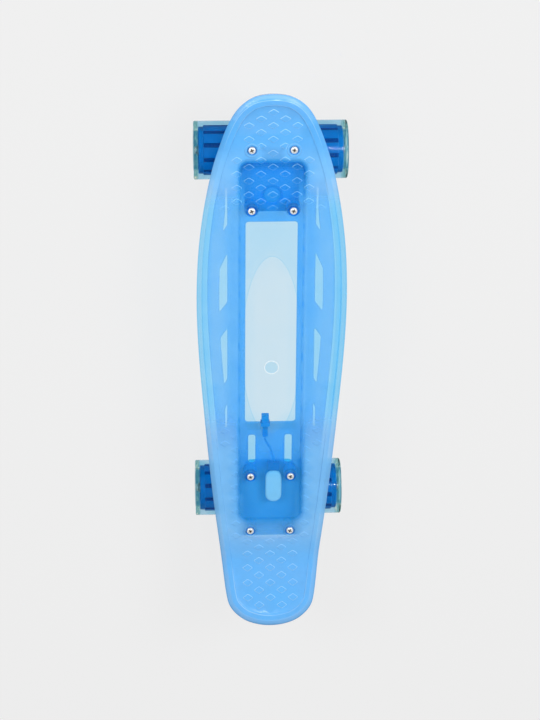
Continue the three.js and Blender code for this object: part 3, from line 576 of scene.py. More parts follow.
def see_through(name, thin, thick, fade, rough=(0.1, 0.2), mirror=(0.013, 0.4), clouding=(0.3, 0.85)):
    """Dyed plastic: tint deepens the colour of what is seen through it, milk hides it behind its own."""
    material, tree, shader = node_tree(name)
    clouds = noise(tree, 45.0, detail=4.0)
    tint = combined(tree, "MULTIPLY", marked(tree, "tint"), spread(tree, clouds, 0.95, 1.05))
    passed = add_node(tree, "CombineColor", {
        channel: combined(tree, "POWER", math.exp(-share), tint) for channel, share in enumerate(fade)
    })
    clear = add_node(tree, "BsdfTransparent", {"Color": passed.outputs[0]})
    milk = combined(tree, "MULTIPLY", marked(tree, "milk"), spread(tree, clouds, 0.93, 1.07), clamped=True)
    whitening_and_highlight = marked(tree, "whitening_and_highlight")
    dyed = blend_colours(tree, spread(tree, milk, 0.0, 1.0, *clouding), thin, thick)
    # The whitening mark blends in a pale colour: painted highlights on the deck's edge, border lines, grip
    # bevels and boss rims, and a whitening over the wheels.
    set_inputs(tree, shader, {
        "Base Color": blend_colours(tree, whitening_and_highlight, dyed, WHITENING_AND_HIGHLIGHT_COLOUR), "Roughness": 0.6, "Specular IOR Level": 0.0,
    })
    fine = noise(tree, 900.0)
    shine = add_node(tree, "BsdfGlossy", {
        "Roughness": spread(tree, fine, *rough), "Normal": bumped(tree, fine, PLASTIC_GRAIN_METRES),
    })
    hidden = combined(tree, "MAXIMUM", milk, whitening_and_highlight)
    body = mix_shaders(tree, hidden, clear.outputs[0], shader.outputs[0])
    show(tree, mix_shaders(tree, gloss_share(tree, *mirror), body, shine.outputs[0]))
    return material


def clear_rubber(name, colour, rough=(0.02, 0.07)):
    """Clear urethane that bends what is seen through it and lets the lamps through; on its lips, the tint mark
    brings in a painted refraction colour with painted highlight streaks.
    """
    material, tree, shader = node_tree(name)
    paler = tuple(1 - (1 - c) * 0.7 for c in colour)
    cast_colour = blend_colours(tree, spread(tree, noise(tree, 40.0)), colour, paler)
    # Painted refraction colour and highlight streaks on the lips
    highlight_streaks = spread(tree, noise(tree, 130.0, stretch=(4.0, 1.0, 1.0)), start=0.5, end=0.66)
    lip_paint = blend_colours(tree, highlight_streaks, LIP_REFRACTION_COLOUR, LIP_HIGHLIGHT_STREAK)
    set_inputs(tree, shader, {
        "Base Color": blend_colours(tree, marked(tree, "tint"), cast_colour, lip_paint), "Transmission Weight": 1.0,
        "IOR": RUBBER_IOR, "Coat Weight": 0.15, "Coat Roughness": 0.04,
        "Roughness": spread(tree, noise(tree, 300.0, detail=5.0), *rough),
        "Normal": bumped(tree, noise(tree, 120.0), RUBBER_WAVE_METRES),
    })
    lit = add_node(tree, "BsdfTransparent", {"Color": RUBBER_SHADE})
    shadow = add_node(tree, "LightPath").outputs["Is Shadow Ray"]
    show(tree, mix_shaders(tree, shadow, shader.outputs[0], lit.outputs[0]))
    return material


PALE_LENS = (0.85, 0.96, 1.0)
JACKET = (0.02, 0.42, 0.9)
GATE_WHITE = (0.78, 0.88, 0.92)
MATERIALS = {
    "deck": see_through("deck_plastic", (0.02, 0.5, 1.0), (0.112, 0.43, 0.86), (1.0, 0.27, 0.0),
                        clouding=(0.1, 0.5)),
    "wall": see_through("deck_walls", (0.01, 0.45, 1.0), (0.05, 0.45, 0.95), (1.0, 0.24, 0.0),
                        mirror=(0.0, 0.06)),
    "tray": see_through("tray_plastic", (0.01, 0.43, 0.97), (0.14, 0.48, 0.87), (1.0, 0.29, 0.0),
                        rough=(0.2, 0.3)),
    "tyre": clear_rubber("clear_tyre", (0.2, 0.53, 0.74)),
    "lens": see_through("lens_plastic", PALE_LENS, PALE_LENS, (0.3, 0.08, 0.0)),
    "cable": see_through("cable_jacket", JACKET, JACKET, (0.5, 0.12, 0.0)),
    "ring": see_through("gate_ring", GATE_WHITE, GATE_WHITE, (0.1, 0.03, 0.0)),
    # The core's darker colour is painted shade in the bottoms of its grooves.
    "core": surface("core_plastic", (0.0003, 0.135, 0.38), rough=(0.3, 0.45), grain=300.0, specular=0.04,
                    shade_colour=(0.0, 0.045, 0.18)),
    "truck": surface("truck_coat", (0.08, 0.7, 0.9), tint=0.05, rough=(0.32, 0.48), grain=700.0, bump=0.00006),
    "steel": surface("plain_steel", (0.56, 0.57, 0.58), metallic=1.0, rough=(0.24, 0.42), grain=500.0),
    # The zinc's darker colour is painted shade in the bolts' cross recesses.
    "zinc": surface("bright_zinc", (0.68, 0.7, 0.7), metallic=0.45, rough=(0.25, 0.42), grain=700.0,
                    shade_colour=(0.06, 0.045, 0.035)),
    "black": surface("black_elastomer", (0.02, 0.02, 0.023), rough=(0.5, 0.7)),
    "bushing": surface("bushing_elastomer", (0.02, 0.28, 0.66), rough=(0.3, 0.5), grain=250.0, coat=0.2),
    "switch": surface("switch_plastic", (0.001, 0.27, 0.7), rough=(0.45, 0.6), specular=0.2),
    "plug": surface("plug_plastic", (0.0005, 0.16, 0.5), rough=(0.45, 0.6), specular=0.1),
    "cell": surface("cell_wrap", (0.28, 0.32, 0.36), metallic=0.6, rough=(0.3, 0.5)),
    "laminate": surface("laminate", (0.03, 0.2, 0.08), rough=(0.4, 0.6)),
}


# Looks of the deck
def ramp(value, start, end):
    """0 before start, 1 past end, smooth between; start may lie above end."""
    share = min(max((value - start) / (end - start), 0.0), 1.0)
    return share * share * (3 - 2 * share)


def front(y, place_name):
    """How far y is through a named stretch near the front bolts, 0 to 1."""
    return ramp(y, *(FRONT_Y + at for at in FRONT_PLACES[place_name]))


def rear(y, place_name):
    """How far y is through a named stretch near the rear bolts, 0 to 1."""
    return ramp(y, *(REAR_Y + at for at in REAR_PLACES[place_name]))


def across(distance, place_name):
    """How far a distance is through a named stretch across the board, 0 to 1."""
    return ramp(distance, *ACROSS_PLACES[place_name])


def total(amounts, shares):
    """Sum of the zones' amounts, each by its zone's share at the point."""
    return sum(amount * shares[zone] for zone, amount in amounts.items())


def box_ends(out=0.0):
    """The box's ends as they are seen through the deck's top, moved out by a distance."""
    return REAR_Y - BOX_SEEN_PAST[0] - out, FRONT_Y + BOX_SEEN_PAST[1] + out


def past_box(x, y):
    """Distance out of the box, as its walls are seen through the deck's top."""
    low, high = box_ends()
    beside = abs(x) - BOX_WIDTH / 2 + BOX_CORNER
    ahead = abs(y - (low + high) / 2) - (high - low) / 2 + BOX_CORNER
    return math.hypot(max(beside, 0.0), max(ahead, 0.0)) + min(max(beside, ahead), 0.0) - BOX_CORNER


def deck_look(x, y):
    """Tint and milk of the deck: clear over the box and the slots, cloudy in the kicks and over the wheels."""
    beside = across(past_box(x, y), "seam")
    within = 1 - beside
    clouded = max(front(y, "cloud"), rear(y, "cloud")) * beside
    clouded *= 1 - CLOUD_GAP * across(abs(x), "gap") * front(y, "gap") * (y > FRONT_Y)
    clouded *= 1 - CLOUD_PLATE * across(abs(x), "plate") * rear(y, "plate") * rear(y, "plate_end")
    rim = across(half_width(y) - abs(x) - FIELD_INSET, "rim")
    # The right share puts painted shade on the right flank, beside the box.
    shares = {
        "whole": 1.0, "flank": beside, "cloud": clouded, "rim": rim, "clear_rim": rim * (1 - clouded),
        "right": across(x, "right") * beside, "strips": rear(y, "strips") * rear(y, "strips_end") * within,
        "front_box": front(y, "box") * within, "nose_box": front(y, "nose_box") * within,
        "rear_box": rear(y, "box") * within,
    }
    return total(DECK_TINT, shares) * (1 - clouded), total(DECK_MILK, shares)


def deck_bloom(x, y):
    """How much the deck's flanks over the wheels whiten."""
    kicks = max(front(y, "kick"), rear(y, "kick"))
    over_wheels = max(front(y, "bloom"), rear(y, "bloom"))
    return DECK_BLOOM * over_wheels * (1 - kicks) * across(past_box(x, y), "bloom")


def bolt_distance(x, y):
    return min(math.hypot(x - middle[0], y - middle[1]) for middle in BOLTS.values())


def oval_share(x, y, margin=(0.0, 0.0)):
    """Distance from the oval's middle as a share of the way to its edge, moved out by a margin."""
    return math.hypot(x / (OVAL_WIDTH / 2 + margin[0]), (y - OVAL_Y) / (OVAL_LENGTH / 2 + margin[1]))


# Deck
def deck_section():
    """Inset and height of each row, from the field's edge over border and rim to the skin's underside."""
    foot = RIM_TAPER + RIM_FOOT
    return [
        (FIELD_INSET, 0.0), (BORDER_END + 0.9, 0.25), (BORDER_END + 0.3, BORDER_LINE),
        (BORDER_END - 0.5, BORDER_HEIGHT), *((inset, BORDER_HEIGHT - drop) for inset, drop in EDGE_TURN),
        (RIM_TAPER * 0.5, -RIM_DEPTH * 0.6), (RIM_TAPER, 1.0 - RIM_DEPTH), (RIM_TAPER + 0.4, 0.35 - RIM_DEPTH),
        (RIM_TAPER + 1.0, -RIM_DEPTH), (foot - RIM_EASE, -RIM_DEPTH), (foot, RIM_EASE - RIM_DEPTH),
        (RIM_WALL + 0.9, -SKIN - 2.0), (RIM_WALL + 1.2, -SKIN - 0.7), (RIM_WALL + RIM_FILLET, -SKIN),
    ]


def build_edge(mesher):
    """The deck's border and rim, with painted highlight lines along the border's two lines."""
    section = deck_section()
    loops, marks = [], []
    for row, (inset, height) in enumerate(section):
        loop = outline(inset)
        loops.append([bent(point, height) for point in loop])
        for x, y in loop:
            tint, milk = deck_look(x, y)
            nose, tail = front(y, "line_highlight"), rear(y, "line_highlight")
            whitening_and_highlight = 0.0
            # Painted highlights: a light line on the edge's turn in the nose, and on the border's inner line
            # in the nose and tail, brighter on the left.
            if height == BORDER_HEIGHT - EDGE_LINE:
                whitening_and_highlight = EDGE_HIGHLIGHT * nose
            elif height == BORDER_LINE:
                whitening_and_highlight = NOSE_LINE_HIGHLIGHT * nose + TAIL_LINE_HIGHLIGHT * tail * (1.0 if x < 0 else 0.5)
            if height >= OUTER_WALL:
                whitening_and_highlight = max(whitening_and_highlight, deck_bloom(x, y))
            elif row > len(section) - 1 - INNER_ROWS:
                tint, milk = 0.0, 0.0
            else:
                tint, milk = tint * WALL_TINT_SHARE, milk * WALL_MILK_SHARE
            marks.append((tint, milk, whitening_and_highlight))
    mesher.loops(loops, mark=marks)


def diamond(x, y, shrink=0.0):
    """One raised diamond of the grip, with its corners cut."""
    a, b = (half - shrink * share for half, share in zip(GRIP_HALF, GRIP_SHRINK_SHARES))
    c = GRIP_CORNER * (1 - shrink * GRIP_SHRINK_SHARES[2])
    d = c * b / a
    tip_x, tip_y = a - c * GRIP_POINT_SHARE, b - d * GRIP_POINT_SHARE
    points = [(a - c, -d), (tip_x, 0), (a - c, d), (c, b - d), (0, tip_y), (-c, b - d)]
    return [(x + way * px, y + way * py) for way in (1, -1) for px, py in points]


def past_bolts(loop, gap):
    """A loop kept a gap away from the rings round the bolts."""
    near = [p for p in BOLTS.values() if math.hypot(loop[0][0] - p[0], loop[0][1] - p[1]) < BOLT_NEAR]
    if not near:
        return loop
    fine = [(ax + (bx - ax) * t, ay + (by - ay) * t)
            for (ax, ay), (bx, by) in sides(loop) for t in (0.0, 0.33, 0.67)]
    out = []
    for x, y in fine:
        for p in near:
            away = math.hypot(x - p[0], y - p[1])
            if away < BOSS_RADIUS + gap:
                x = p[0] + (x - p[0]) / away * (BOSS_RADIUS + gap)
                y = p[1] + (y - p[1]) / away * (BOSS_RADIUS + gap)
        out.append((x, y))
    return out


def grip_places():
    """Places of the diamonds, and of the plain points between them."""
    limit = outline(GRIP_INSET)
    raised, plain = [], []
    rows = int(HALF_LENGTH / GRIP_PITCH[1]) + 1
    columns = int(HALF_WIDTH / GRIP_PITCH[0]) + 1
    for row in range(-2 * rows, 2 * rows + 1):
        for column in range(-columns, columns + 1):
            x, y = column * GRIP_PITCH[0], FRONT_Y + GRIP_START + row * GRIP_PITCH[1]
            if abs(y - DECK_Y) > HALF_LENGTH - GRIP_INSET or not inside((x, y), limit):
                continue
            from_bolt = bolt_distance(x, y)
            clear = oval_share(x, y, OVAL_MARGIN) > 1
            whole = all(inside(point, limit) for point in diamond(x, y))
            if (row + column) % 2 == 0 and whole and from_bolt > GRIP_FROM_BOLT and clear:
                raised.append((x, y))
            elif from_bolt > BOSS_RADIUS + 2.0 and clear:
                plain.append((x, y))
    return raised, plain


def relief(raised):
    """The field's edge and the loops of its relief, with each point's height, added tint (painted shade in the
    bolt recesses) and painted highlight.
    """
    loops, reliefs = [outline(FIELD_INSET)], {}

    def add_loop(loop, height, deeper=0.0, whitening_and_highlight=0.0):
        loops.append(loop)
        for point in loop:
            reliefs[point] = height, deeper, whitening_and_highlight

    for x, y in raised:
        # The middle loop of each diamond's bevel carries a painted highlight, stronger in the nose and tail.
        whitening_and_highlight = GRIP_HIGHLIGHT[0] + GRIP_HIGHLIGHT[1] * max(front(y, "grip_highlight"), rear(y, "grip_highlight"))
        for gap, share, painted_highlight in zip(GRIP_GAPS, (0.0, 0.5, 1.0), (0.0, whitening_and_highlight, 0.0)):
            add_loop(past_bolts(diamond(x, y, GRIP_BEVEL * share), gap), GRIP_HEIGHT * share, whitening_and_highlight=painted_highlight)
    for middle in BOLTS.values():
        for radius, height, deeper, whitening_and_highlight in BOLT_RINGS:
            add_loop(circle(radius, 28, middle[:2]), height, deeper, whitening_and_highlight)
    for inset, height, deeper in OVAL_RINGS:
        add_loop([(x * (OVAL_WIDTH / 2 - inset), OVAL_Y + y * (OVAL_LENGTH / 2 - inset))
                  for x, y in circle(1.0, 96)], height, deeper)
    add_loop(circle(GATE_RADIUS + 0.2, 40, GATE), -OVAL_DEPTH)
    add_loop(circle(GATE_RADIUS - 0.3, 40, GATE), -GATE_DEPTH, 0.2)
    return loops, reliefs


def oval_points():
    half, step, end = OVAL_GRID
    return [(x, y) for y in np.arange(OVAL_Y - end, OVAL_Y + end + 1, step) for x in (-half, 0.0, half)
            if math.hypot(x - GATE[0], y - GATE[1]) > GATE_RADIUS + 4 and oval_share(x, y) < 0.9]


def seam_points(raised):
    """Points beside the box's seam in the field, where the look changes quickly."""
    seam = []
    for out in SEAM_OUT:
        half = BOX_WIDTH / 2 + out
        seam += along(round_rectangle(-half, half, *box_ends(out), BOX_CORNER + out), SEAM_STEP)

    def between(x, y):
        half_x, half_y = GRIP_HALF[0] + 0.5, GRIP_HALF[1] + 0.5
        return min(abs(x - gx) / half_x + abs(y - gy) / half_y for gx, gy in raised) > 1

    return [(x, y) for x, y in seam if half_width(y) - abs(x) > GRIP_INSET
            and bolt_distance(x, y) > BOSS_RADIUS + 1.0 and between(x, y)]


def build_deck():
    mesher = Mesher()
    build_edge(mesher)
    raised, plain = grip_places()
    loops, reliefs = relief(raised)
    inner, seam = oval_points(), seam_points(raised)
    reliefs.update({point: (-OVAL_DEPTH, 0.0, 0.0) for point in inner})
    holes = [circle(BOLT_HOLE, 28, middle[:2]) for middle in BOLTS.values()]

    def look(point, deeper=0.0, whitening_and_highlight=0.0):
        tint, milk = OVAL_LOOK if oval_share(*point) < 0.995 else deck_look(*point)
        if math.hypot(point[0] - GATE[0], point[1] - GATE[1]) < GATE_RADIUS:
            deeper = 0.2
        return tint + deeper, milk, max(whitening_and_highlight, deck_bloom(*point))

    points, faces = field(loops, plain + inner + seam, holes)
    top, marks = [], []
    for point in points:
        height, deeper, whitening_and_highlight = reliefs.get(point, (0.0, 0.0, 0.0))
        top.append(bent(point, height))
        marks.append(look(point, deeper, whitening_and_highlight))
    mesher.add(top, faces, marks)
    points, faces = field([outline(RIM_WALL + RIM_FILLET)] + holes, plain + raised + seam + inner, holes)
    mesher.add([bent(point, -SKIN) for point in points], faces, [look(point) for point in points])
    mesher.make("deck_shell", "deck", "deck_plastic", ("deck",), smooth=28)


def build_walls():
    """The bolt bosses and the box's walls, deeper in colour where their feet touch the tray."""
    mesher = Mesher()
    foot = TRAY_TOP + 0.3
    under = DECK_Z - SKIN
    tube = [(BOLT_HOLE, DECK_Z - RECESS_DEPTH), (BOLT_HOLE, foot), (BOSS_RADIUS - 0.4, foot),
            (BOSS_RADIUS, foot + 0.4), (BOSS_RADIUS, under)]
    for middle in BOLTS.values():
        loops = [[(x, y, z) for x, y in circle(radius, 28, middle[:2])] for radius, z in tube]
        mesher.loops(loops, mark=BOSS_LOOK)
    rim = (-BOX_WIDTH / 2, BOX_WIDTH / 2, REAR_Y - BOX_PAST[0], FRONT_Y + BOX_PAST[1])
    wall = along(round_rectangle(*rim, BOX_CORNER), WALL_STEP)
    profile = [(0.0, under), (0.0, foot + 0.4), (0.4, foot), (BOX_WALL - 0.4, foot), (BOX_WALL, foot + 0.4),
               (BOX_WALL, under)]
    touching = [TOUCH_TINT if math.sin(0.21 * y + x) + math.sin(0.53 * y + 1.0) > 0.5 else WALL_TINT
                for x, y in wall]
    marks = [(deep if z == foot else WALL_TINT, WALL_MILK) for _, z in profile for deep in touching]
    mesher.loops([[(x, y, z) for x, y in offset(wall, inset)] for inset, z in profile], mark=marks)
    mesher.make("deck_walls", "wall", "deck_plastic", smooth=28)


def build_gate_ring():
    """The pale ring left by the moulding gate, in the middle of the smooth oval."""
    mesher = Mesher()
    mesher.loops([[bent(point, height) for point in circle(GATE_RADIUS + out, 48, GATE)]
                  for out, height in GATE_SECTION], along=True, mark=(0.0, 0.7))
    mesher.make("gate_ring", "ring", "deck_plastic")


build_deck()
build_walls()
build_gate_ring()


# Undertray
def plate(mesher, rim, holes, low, high, edge, look):
    """A flat plate with eased edges between two heights."""
    for loop, way in [(rim, 1)] + [(hole, -1) for hole in holes]:
        inner = offset(loop, edge * way)
        rows = [(inner, high), (loop, high - edge), (loop, low + edge), (inner, low)]
        marks = [look(*point) for row, _ in rows for point in row]
        mesher.loops([[(*point, height) for point in row] for row, height in rows], mark=marks)
    rim, holes = offset(rim, edge), [offset(hole, -edge) for hole in holes]
    grid = [(x, y) for x in np.arange(-60, 61, TRAY_GRID[0])
            for y in np.arange(REAR_Y - TRAY_PAST[0] - 10, FRONT_Y + 50, TRAY_GRID[1])
            if math.hypot(x, y - KING_RING_Y) > KING_RING_CLEAR]
    grid += [point for radius in KING_RING_RADII for point in circle(radius, 32, (0, KING_RING_Y))]
    grid = [point for point in grid if within(point, rim, holes)]
    points, faces = field([rim] + holes, grid, holes)
    marks = [look(*point) for point in points]
    for height in (low, high):
        mesher.add([(*point, height) for point in points], faces, marks)


def rounded(loop, radius, steps=4):
    """A loop with each corner replaced by a short arc."""
    out = []
    count = len(loop)
    for i in range(count):
        before, here, after = (np.array(loop[(i + k) % count]) for k in (-1, 0, 1))
        a, b = before - here, after - here
        reach = min(radius, np.linalg.norm(a) / 2.2, np.linalg.norm(b) / 2.2)
        start = here + a / np.linalg.norm(a) * reach
        end = here + b / np.linalg.norm(b) * reach
        for t in np.linspace(0, 1, steps + 1):
            out.append(tuple((1 - t) ** 2 * start + 2 * t * (1 - t) * here + t ** 2 * end))
    return out


def side_slot(shares):
    inner_nose, outer_nose, inner_tail, outer_tail = (DECK_Y + share * HALF_LENGTH for share in shares)
    inner = HALF_WIDTH - SLOT_EDGE - SLOT_WIDTH
    outer = [(max(inner + SLOT_LEAST, half_width(y, SLOT_EDGE)), y)
             for y in np.linspace(outer_tail, outer_nose, 5)]
    return rounded([(inner, inner_tail), *outer, (inner, inner_nose)], SLOT_CORNER)


def tray_look(x, y):
    """Tint and milk of the tray: deeper in the box, cloudy beside the trucks."""
    past_wall = abs(x) - BOX_WIDTH / 2
    beside = across(past_wall, "tray_seam")
    over_wheels = max(front(y, "tray_cloud"), rear(y, "tray_cloud")) * beside
    away = math.hypot(x, y - KING_RING_Y)
    shares = {
        "whole": 1.0, "front": front(y, "tray"), "rear": rear(y, "tray"),
        "outwards": across(past_wall, "tray_flank"), "disc": across(away, "disc"),
        "band": across(away, "band") * across(away, "band_end"),
    }
    tint = total(TRAY_TINT, shares) * (1 - beside) + total(FLANK_TINT, shares) * beside
    milk = total(TRAY_MILK, shares) * (1 - beside) + total(FLANK_MILK, shares) * beside
    return tint * (1 - over_wheels), milk + (TRAY_CLOUD_MILK - milk) * over_wheels


def mirrored(loop):
    """The mirror image on the other side of the board, in reverse order."""
    return [(-x, y) for x, y in reversed(loop)]


def build_tray():
    mesher = Mesher()
    low, high = REAR_Y - TRAY_PAST[0], FRONT_Y + TRAY_PAST[1]
    side = [(half_width(y, TRAY_INSET), y) for y in np.linspace(low + TRAY_CORNER, high - TRAY_CORNER, 60)]
    right = [(side[0][0] - TRAY_CORNER, low), *side, (side[-1][0] - TRAY_CORNER, high)]
    holes = [round_rectangle(-WINDOW_WIDTH / 2, WINDOW_WIDTH / 2, *WINDOW, WINDOW_CORNER)]
    for shares in SLOT_SHARES:
        slot = side_slot(shares)
        holes += [slot, mirrored(slot)]
    slot_high = WINDOW[0] - FLOOR_SLOT_GAP
    rear_row = max(middle[1] for name, middle in BOLTS.items() if name.startswith("rear"))
    slot_low = rear_row + BOSS_RADIUS + FLOOR_SLOT_PAST_BOSS
    for way in (-1, 1):
        left = way * FLOOR_SLOT_OFFSET - FLOOR_SLOT_WIDTH / 2
        holes.append(round_rectangle(left, left + FLOOR_SLOT_WIDTH, slot_low, slot_high, FLOOR_SLOT_CORNER))
    holes += [circle(BOLT_HOLE, 24, middle[:2]) for middle in BOLTS.values()]
    plate(mesher, right + mirrored(right), holes, TRAY_LOW, TRAY_TOP, TRAY_EDGE, tray_look)
    mesher.make("undertray_shell", "tray", "tray_plastic", ("undertray",), smooth=28)


def block(mesher, low, high, edge, mark=PLAIN):
    """A block with eased edges."""
    (x0, y0, z0), (x1, y1, z1) = low, high
    rim = round_rectangle(x0, x1, y0, y1, edge * 1.5, 2)
    inner = offset(rim, edge)
    rows = [(inner, z1), (rim, z1 - edge), (rim, z0 + edge), (inner, z0)]
    mesher.capped([[(*point, z) for point in row] for row, z in rows], mark)


def build_cross_wall():
    """The wall behind the window: two halves beside the switch's stem, a lintel over it, a sill under it."""
    mesher = Mesher()
    middle = node_middle("switch_body")[0]
    left, right = middle - STEM_ROOM, middle + STEM_ROOM
    half = WINDOW_WIDTH / 2
    bottom, top = TRAY_TOP - 0.4, DECK_Z - SKIN - 0.3
    for x0, x1, z0, z1 in (
            (-half, left, bottom, top), (right, half, bottom, top),
            (left, right, ROOM_Z + STEM_ROOM, top), (left, right, bottom, ROOM_Z - STEM_ROOM)):
        block(mesher, (x0, WINDOW[0] - CROSS_WALL, z0), (x1, WINDOW[0], z1), CROSS_EASE, CROSS_LOOK)
    mesher.make("tray_cross_wall", "wall", "tray_plastic")


build_tray()
build_cross_wall()


# Round pieces
def spun(matrix, height, places):
    """Points at a height over a matrix's own XY plane, from their angles and radii."""
    return [tuple(matrix @ Vector((r * math.cos(a), r * math.sin(a), height))) for a, r in places]


def turned(mesher, profile, matrix, count=48, closed=False, mark=PLAIN):
    """Turns [radius, height] points about the matrix's own Z; closed joins the last point to the first."""
    mesher.loops([spun(matrix, height, [(a, max(radius, 1e-4)) for a in turns(count)])
                  for radius, height in profile], along=closed, mark=mark)


def turned_piece(name, node, profile, matrix, material, slot, body=BODY, closed=False):
    mesher = Mesher()
    turned(mesher, profile, matrix, closed=closed)
    mesher.make(name, material, slot, (node,), body)


def sideways(x, y, z, side):
    """Own Z along +X or -X."""
    return Matrix.Translation((x, y, z)) @ Matrix.Rotation(side * math.pi / 2, 4, "Y")


def steer_matrix(end):
    """Frame of a truck's steering axis, in the part's frame: -Z runs down the kingpin."""
    turn = Matrix.Rotation(0 if end == "front" else math.pi, 4, "Z")
    middle = Matrix.Translation((0, FRONT_Y if end == "front" else REAR_Y, TRAY_LOW))
    tilt = Matrix.Translation((0, STEER_Y, STEER_Z)) @ Matrix.Rotation(STEER_ANGLE, 4, "X")
    return middle @ turn @ tilt


# Deck bolts with cross recesses, and nuts: heights are over the head's seat
BOLT_SEAT = 0.3
BOLT_HEAD = [(3.6, 0.0), (3.6, 1.3), (3.5, 1.75), (3.2, 2.1), (2.7, 2.3), (1.4, 2.38), (0.0, 2.4)]
BOLT_THREAD = (2.1, 2.4)
BOLT_TIP = [(0.0, 0.0), (1.8, 0.0), (2.3, 0.6)]
BOLT_PITCH = 0.9
THREAD_START, THREAD_END = 0.8, -5.0
BOLT_TURN = (0.5, 0.77)
CROSS_DEPTH = (0.9, 3.0)
CROSS_REACH = 2.6
CROSS_THICK = 1.15
CROSS_TAPER_SHARE = 0.45
# Reach and heights of the painted shade at the bottom of the cross recess
SHADE_REACH = 2.2
SHADE_HEIGHTS = (0.5, 1.5)


def evaluated(piece, *others):
    """The mesh that an object's modifiers give; the object and its helpers go."""
    graph = bpy.context.evaluated_depsgraph_get()
    made = bpy.data.meshes.new_from_object(piece.evaluated_get(graph))
    for thing in (piece, *others):
        bpy.data.objects.remove(thing)
    return made


def cross_recess(mesh):
    """Cuts a tapered cross into the top of a mesh whose axis is Z."""
    cutter = bpy.data.meshes.new("cutter")
    work = bmesh.new()
    for turn in (0, math.pi / 2):
        for vert in bmesh.ops.create_cube(work, size=1.0)["verts"]:
            deep = vert.co.z < 0
            wide = CROSS_REACH * (CROSS_TAPER_SHARE if deep else 1.0) * MM
            height = CROSS_DEPTH[0 if deep else 1] * MM
            vert.co = Vector((vert.co.x * 2 * wide, vert.co.y * CROSS_THICK * MM, height))
            vert.co = Matrix.Rotation(turn, 3, "Z") @ vert.co
    work.to_mesh(cutter)
    work.free()
    solid = link(bpy.data.objects.new("bolt_solid", mesh))
    tool = link(bpy.data.objects.new("cross_tool", cutter))
    cut = solid.modifiers.new("cross", "BOOLEAN")
    cut.operation = "DIFFERENCE"
    cut.solver = "EXACT"
    cut.use_self = True
    cut.object = tool
    return evaluated(solid, tool)


def painted_shade(mesh):
    """Marks the bottom of the cross recess for painted shade."""
    for vert, mark in zip(mesh.vertices, mesh.attributes["painted_shade"].data):
        x, y, z = vert.co / MM
        mark.value = float(math.hypot(x, y) < SHADE_REACH and SHADE_HEIGHTS[0] < z < SHADE_HEIGHTS[1])


def build_bolts():
    low, _ = node_box("deck_bolt_front_nose_left")
    seat = DECK_Z - RECESS_DEPTH + BOLT_SEAT
    length = seat - low[2]
    shank = [(radius, height - length) for radius, height in BOLT_TIP]
    root, crest = BOLT_THREAD
    for i in range(int((THREAD_END - THREAD_START + length) / BOLT_PITCH)):
        start = THREAD_START - length + i * BOLT_PITCH
        shank += [(crest, start), (root, start + 0.5 * BOLT_PITCH)]
    shank += [(crest, THREAD_END), (crest, 0.0)]
    mesher = Mesher()
    turned(mesher, shank + BOLT_HEAD, Matrix.Identity(4), 32)
    made = cross_recess(mesher.mesh("deck_bolt"))
    painted_shade(made)
    for index, (name, middle) in enumerate(BOLTS.items()):
        copy = made.copy()
        turn = Matrix.Rotation(BOLT_TURN[0] + index * BOLT_TURN[1], 4, "Z")
        copy.transform(Matrix.Translation((middle[0] * MM, middle[1] * MM, seat * MM)) @ turn)
        place(copy, f"bolt_{name}", "zinc", "screw_steel", (f"deck_bolt_{name}",), smooth=30)


def nut(mesher, flats, bore, thickness, matrix, collar, ease=0.4, count=48):
    """A hexagon nut with domed corners, and a round collar on its far end."""
    half = flats / 2
    corner = flats / math.sqrt(3)
    dome = (corner - half) * 0.6
    flat = math.pi / 3

    def ring(limit, height):
        return spun(matrix, height, [
            (a, min(half / math.cos((a + flat / 2) % flat - flat / 2), limit)) for a in turns(count)])

    shoulder = thickness - collar
    mesher.loops([
        ring(half, 0.0), ring(corner, dome), ring(corner, shoulder - dome), ring(half, shoulder),
        ring(half * 0.86, shoulder), ring(half * 0.86, thickness - 0.3), ring(half * 0.8, thickness),
        ring(bore + ease, thickness), ring(bore, thickness - ease), ring(bore, ease), ring(bore + ease, 0.0),
    ], along=True)


def build_nuts():
    for name in BOLTS:
        low, high = node_box(f"deck_nut_{name}")
        middle = (low + high) / 2
        mesher = Mesher()
        matrix = Matrix.Translation((middle[0], middle[1], high[2])) @ Matrix.Rotation(math.pi, 4, "X")
        nut(mesher, 8.0, 2.5, high[2] - low[2], matrix, collar=1.4)
        mesher.make(f"nut_{name}", "steel", "nut_steel", (f"deck_nut_{name}",), smooth=25)


build_bolts()
build_nuts()


# Wheels: radii, and heights along the axle from the wheel's middle
TYRE_EDGE = 1.6
WHEEL_HALF = 22.5
LIP_RADIUS = 20.5
LIP_EDGE = 1.0
LIP_PAINT_REACH = (0.5, 21.0)
BOND_RADIUS = 22.1
CORE_HALF = 17.5
CORE_RADIUS = 23.6
CORE_PANELS = 10
CORE_GROOVE = 1.3
CORE_EDGE = 0.6
PANEL_ENDS = (4.8, 5.2)
PANEL_SHARES = [
    (0.0, 0.5), (0.03, 0.0), (0.2, 0.0), (0.4, 0.0), (0.6, 0.0), (0.71, 0.0), (0.74, 0.5), (0.77, 1.0),
    (0.97, 1.0),
]
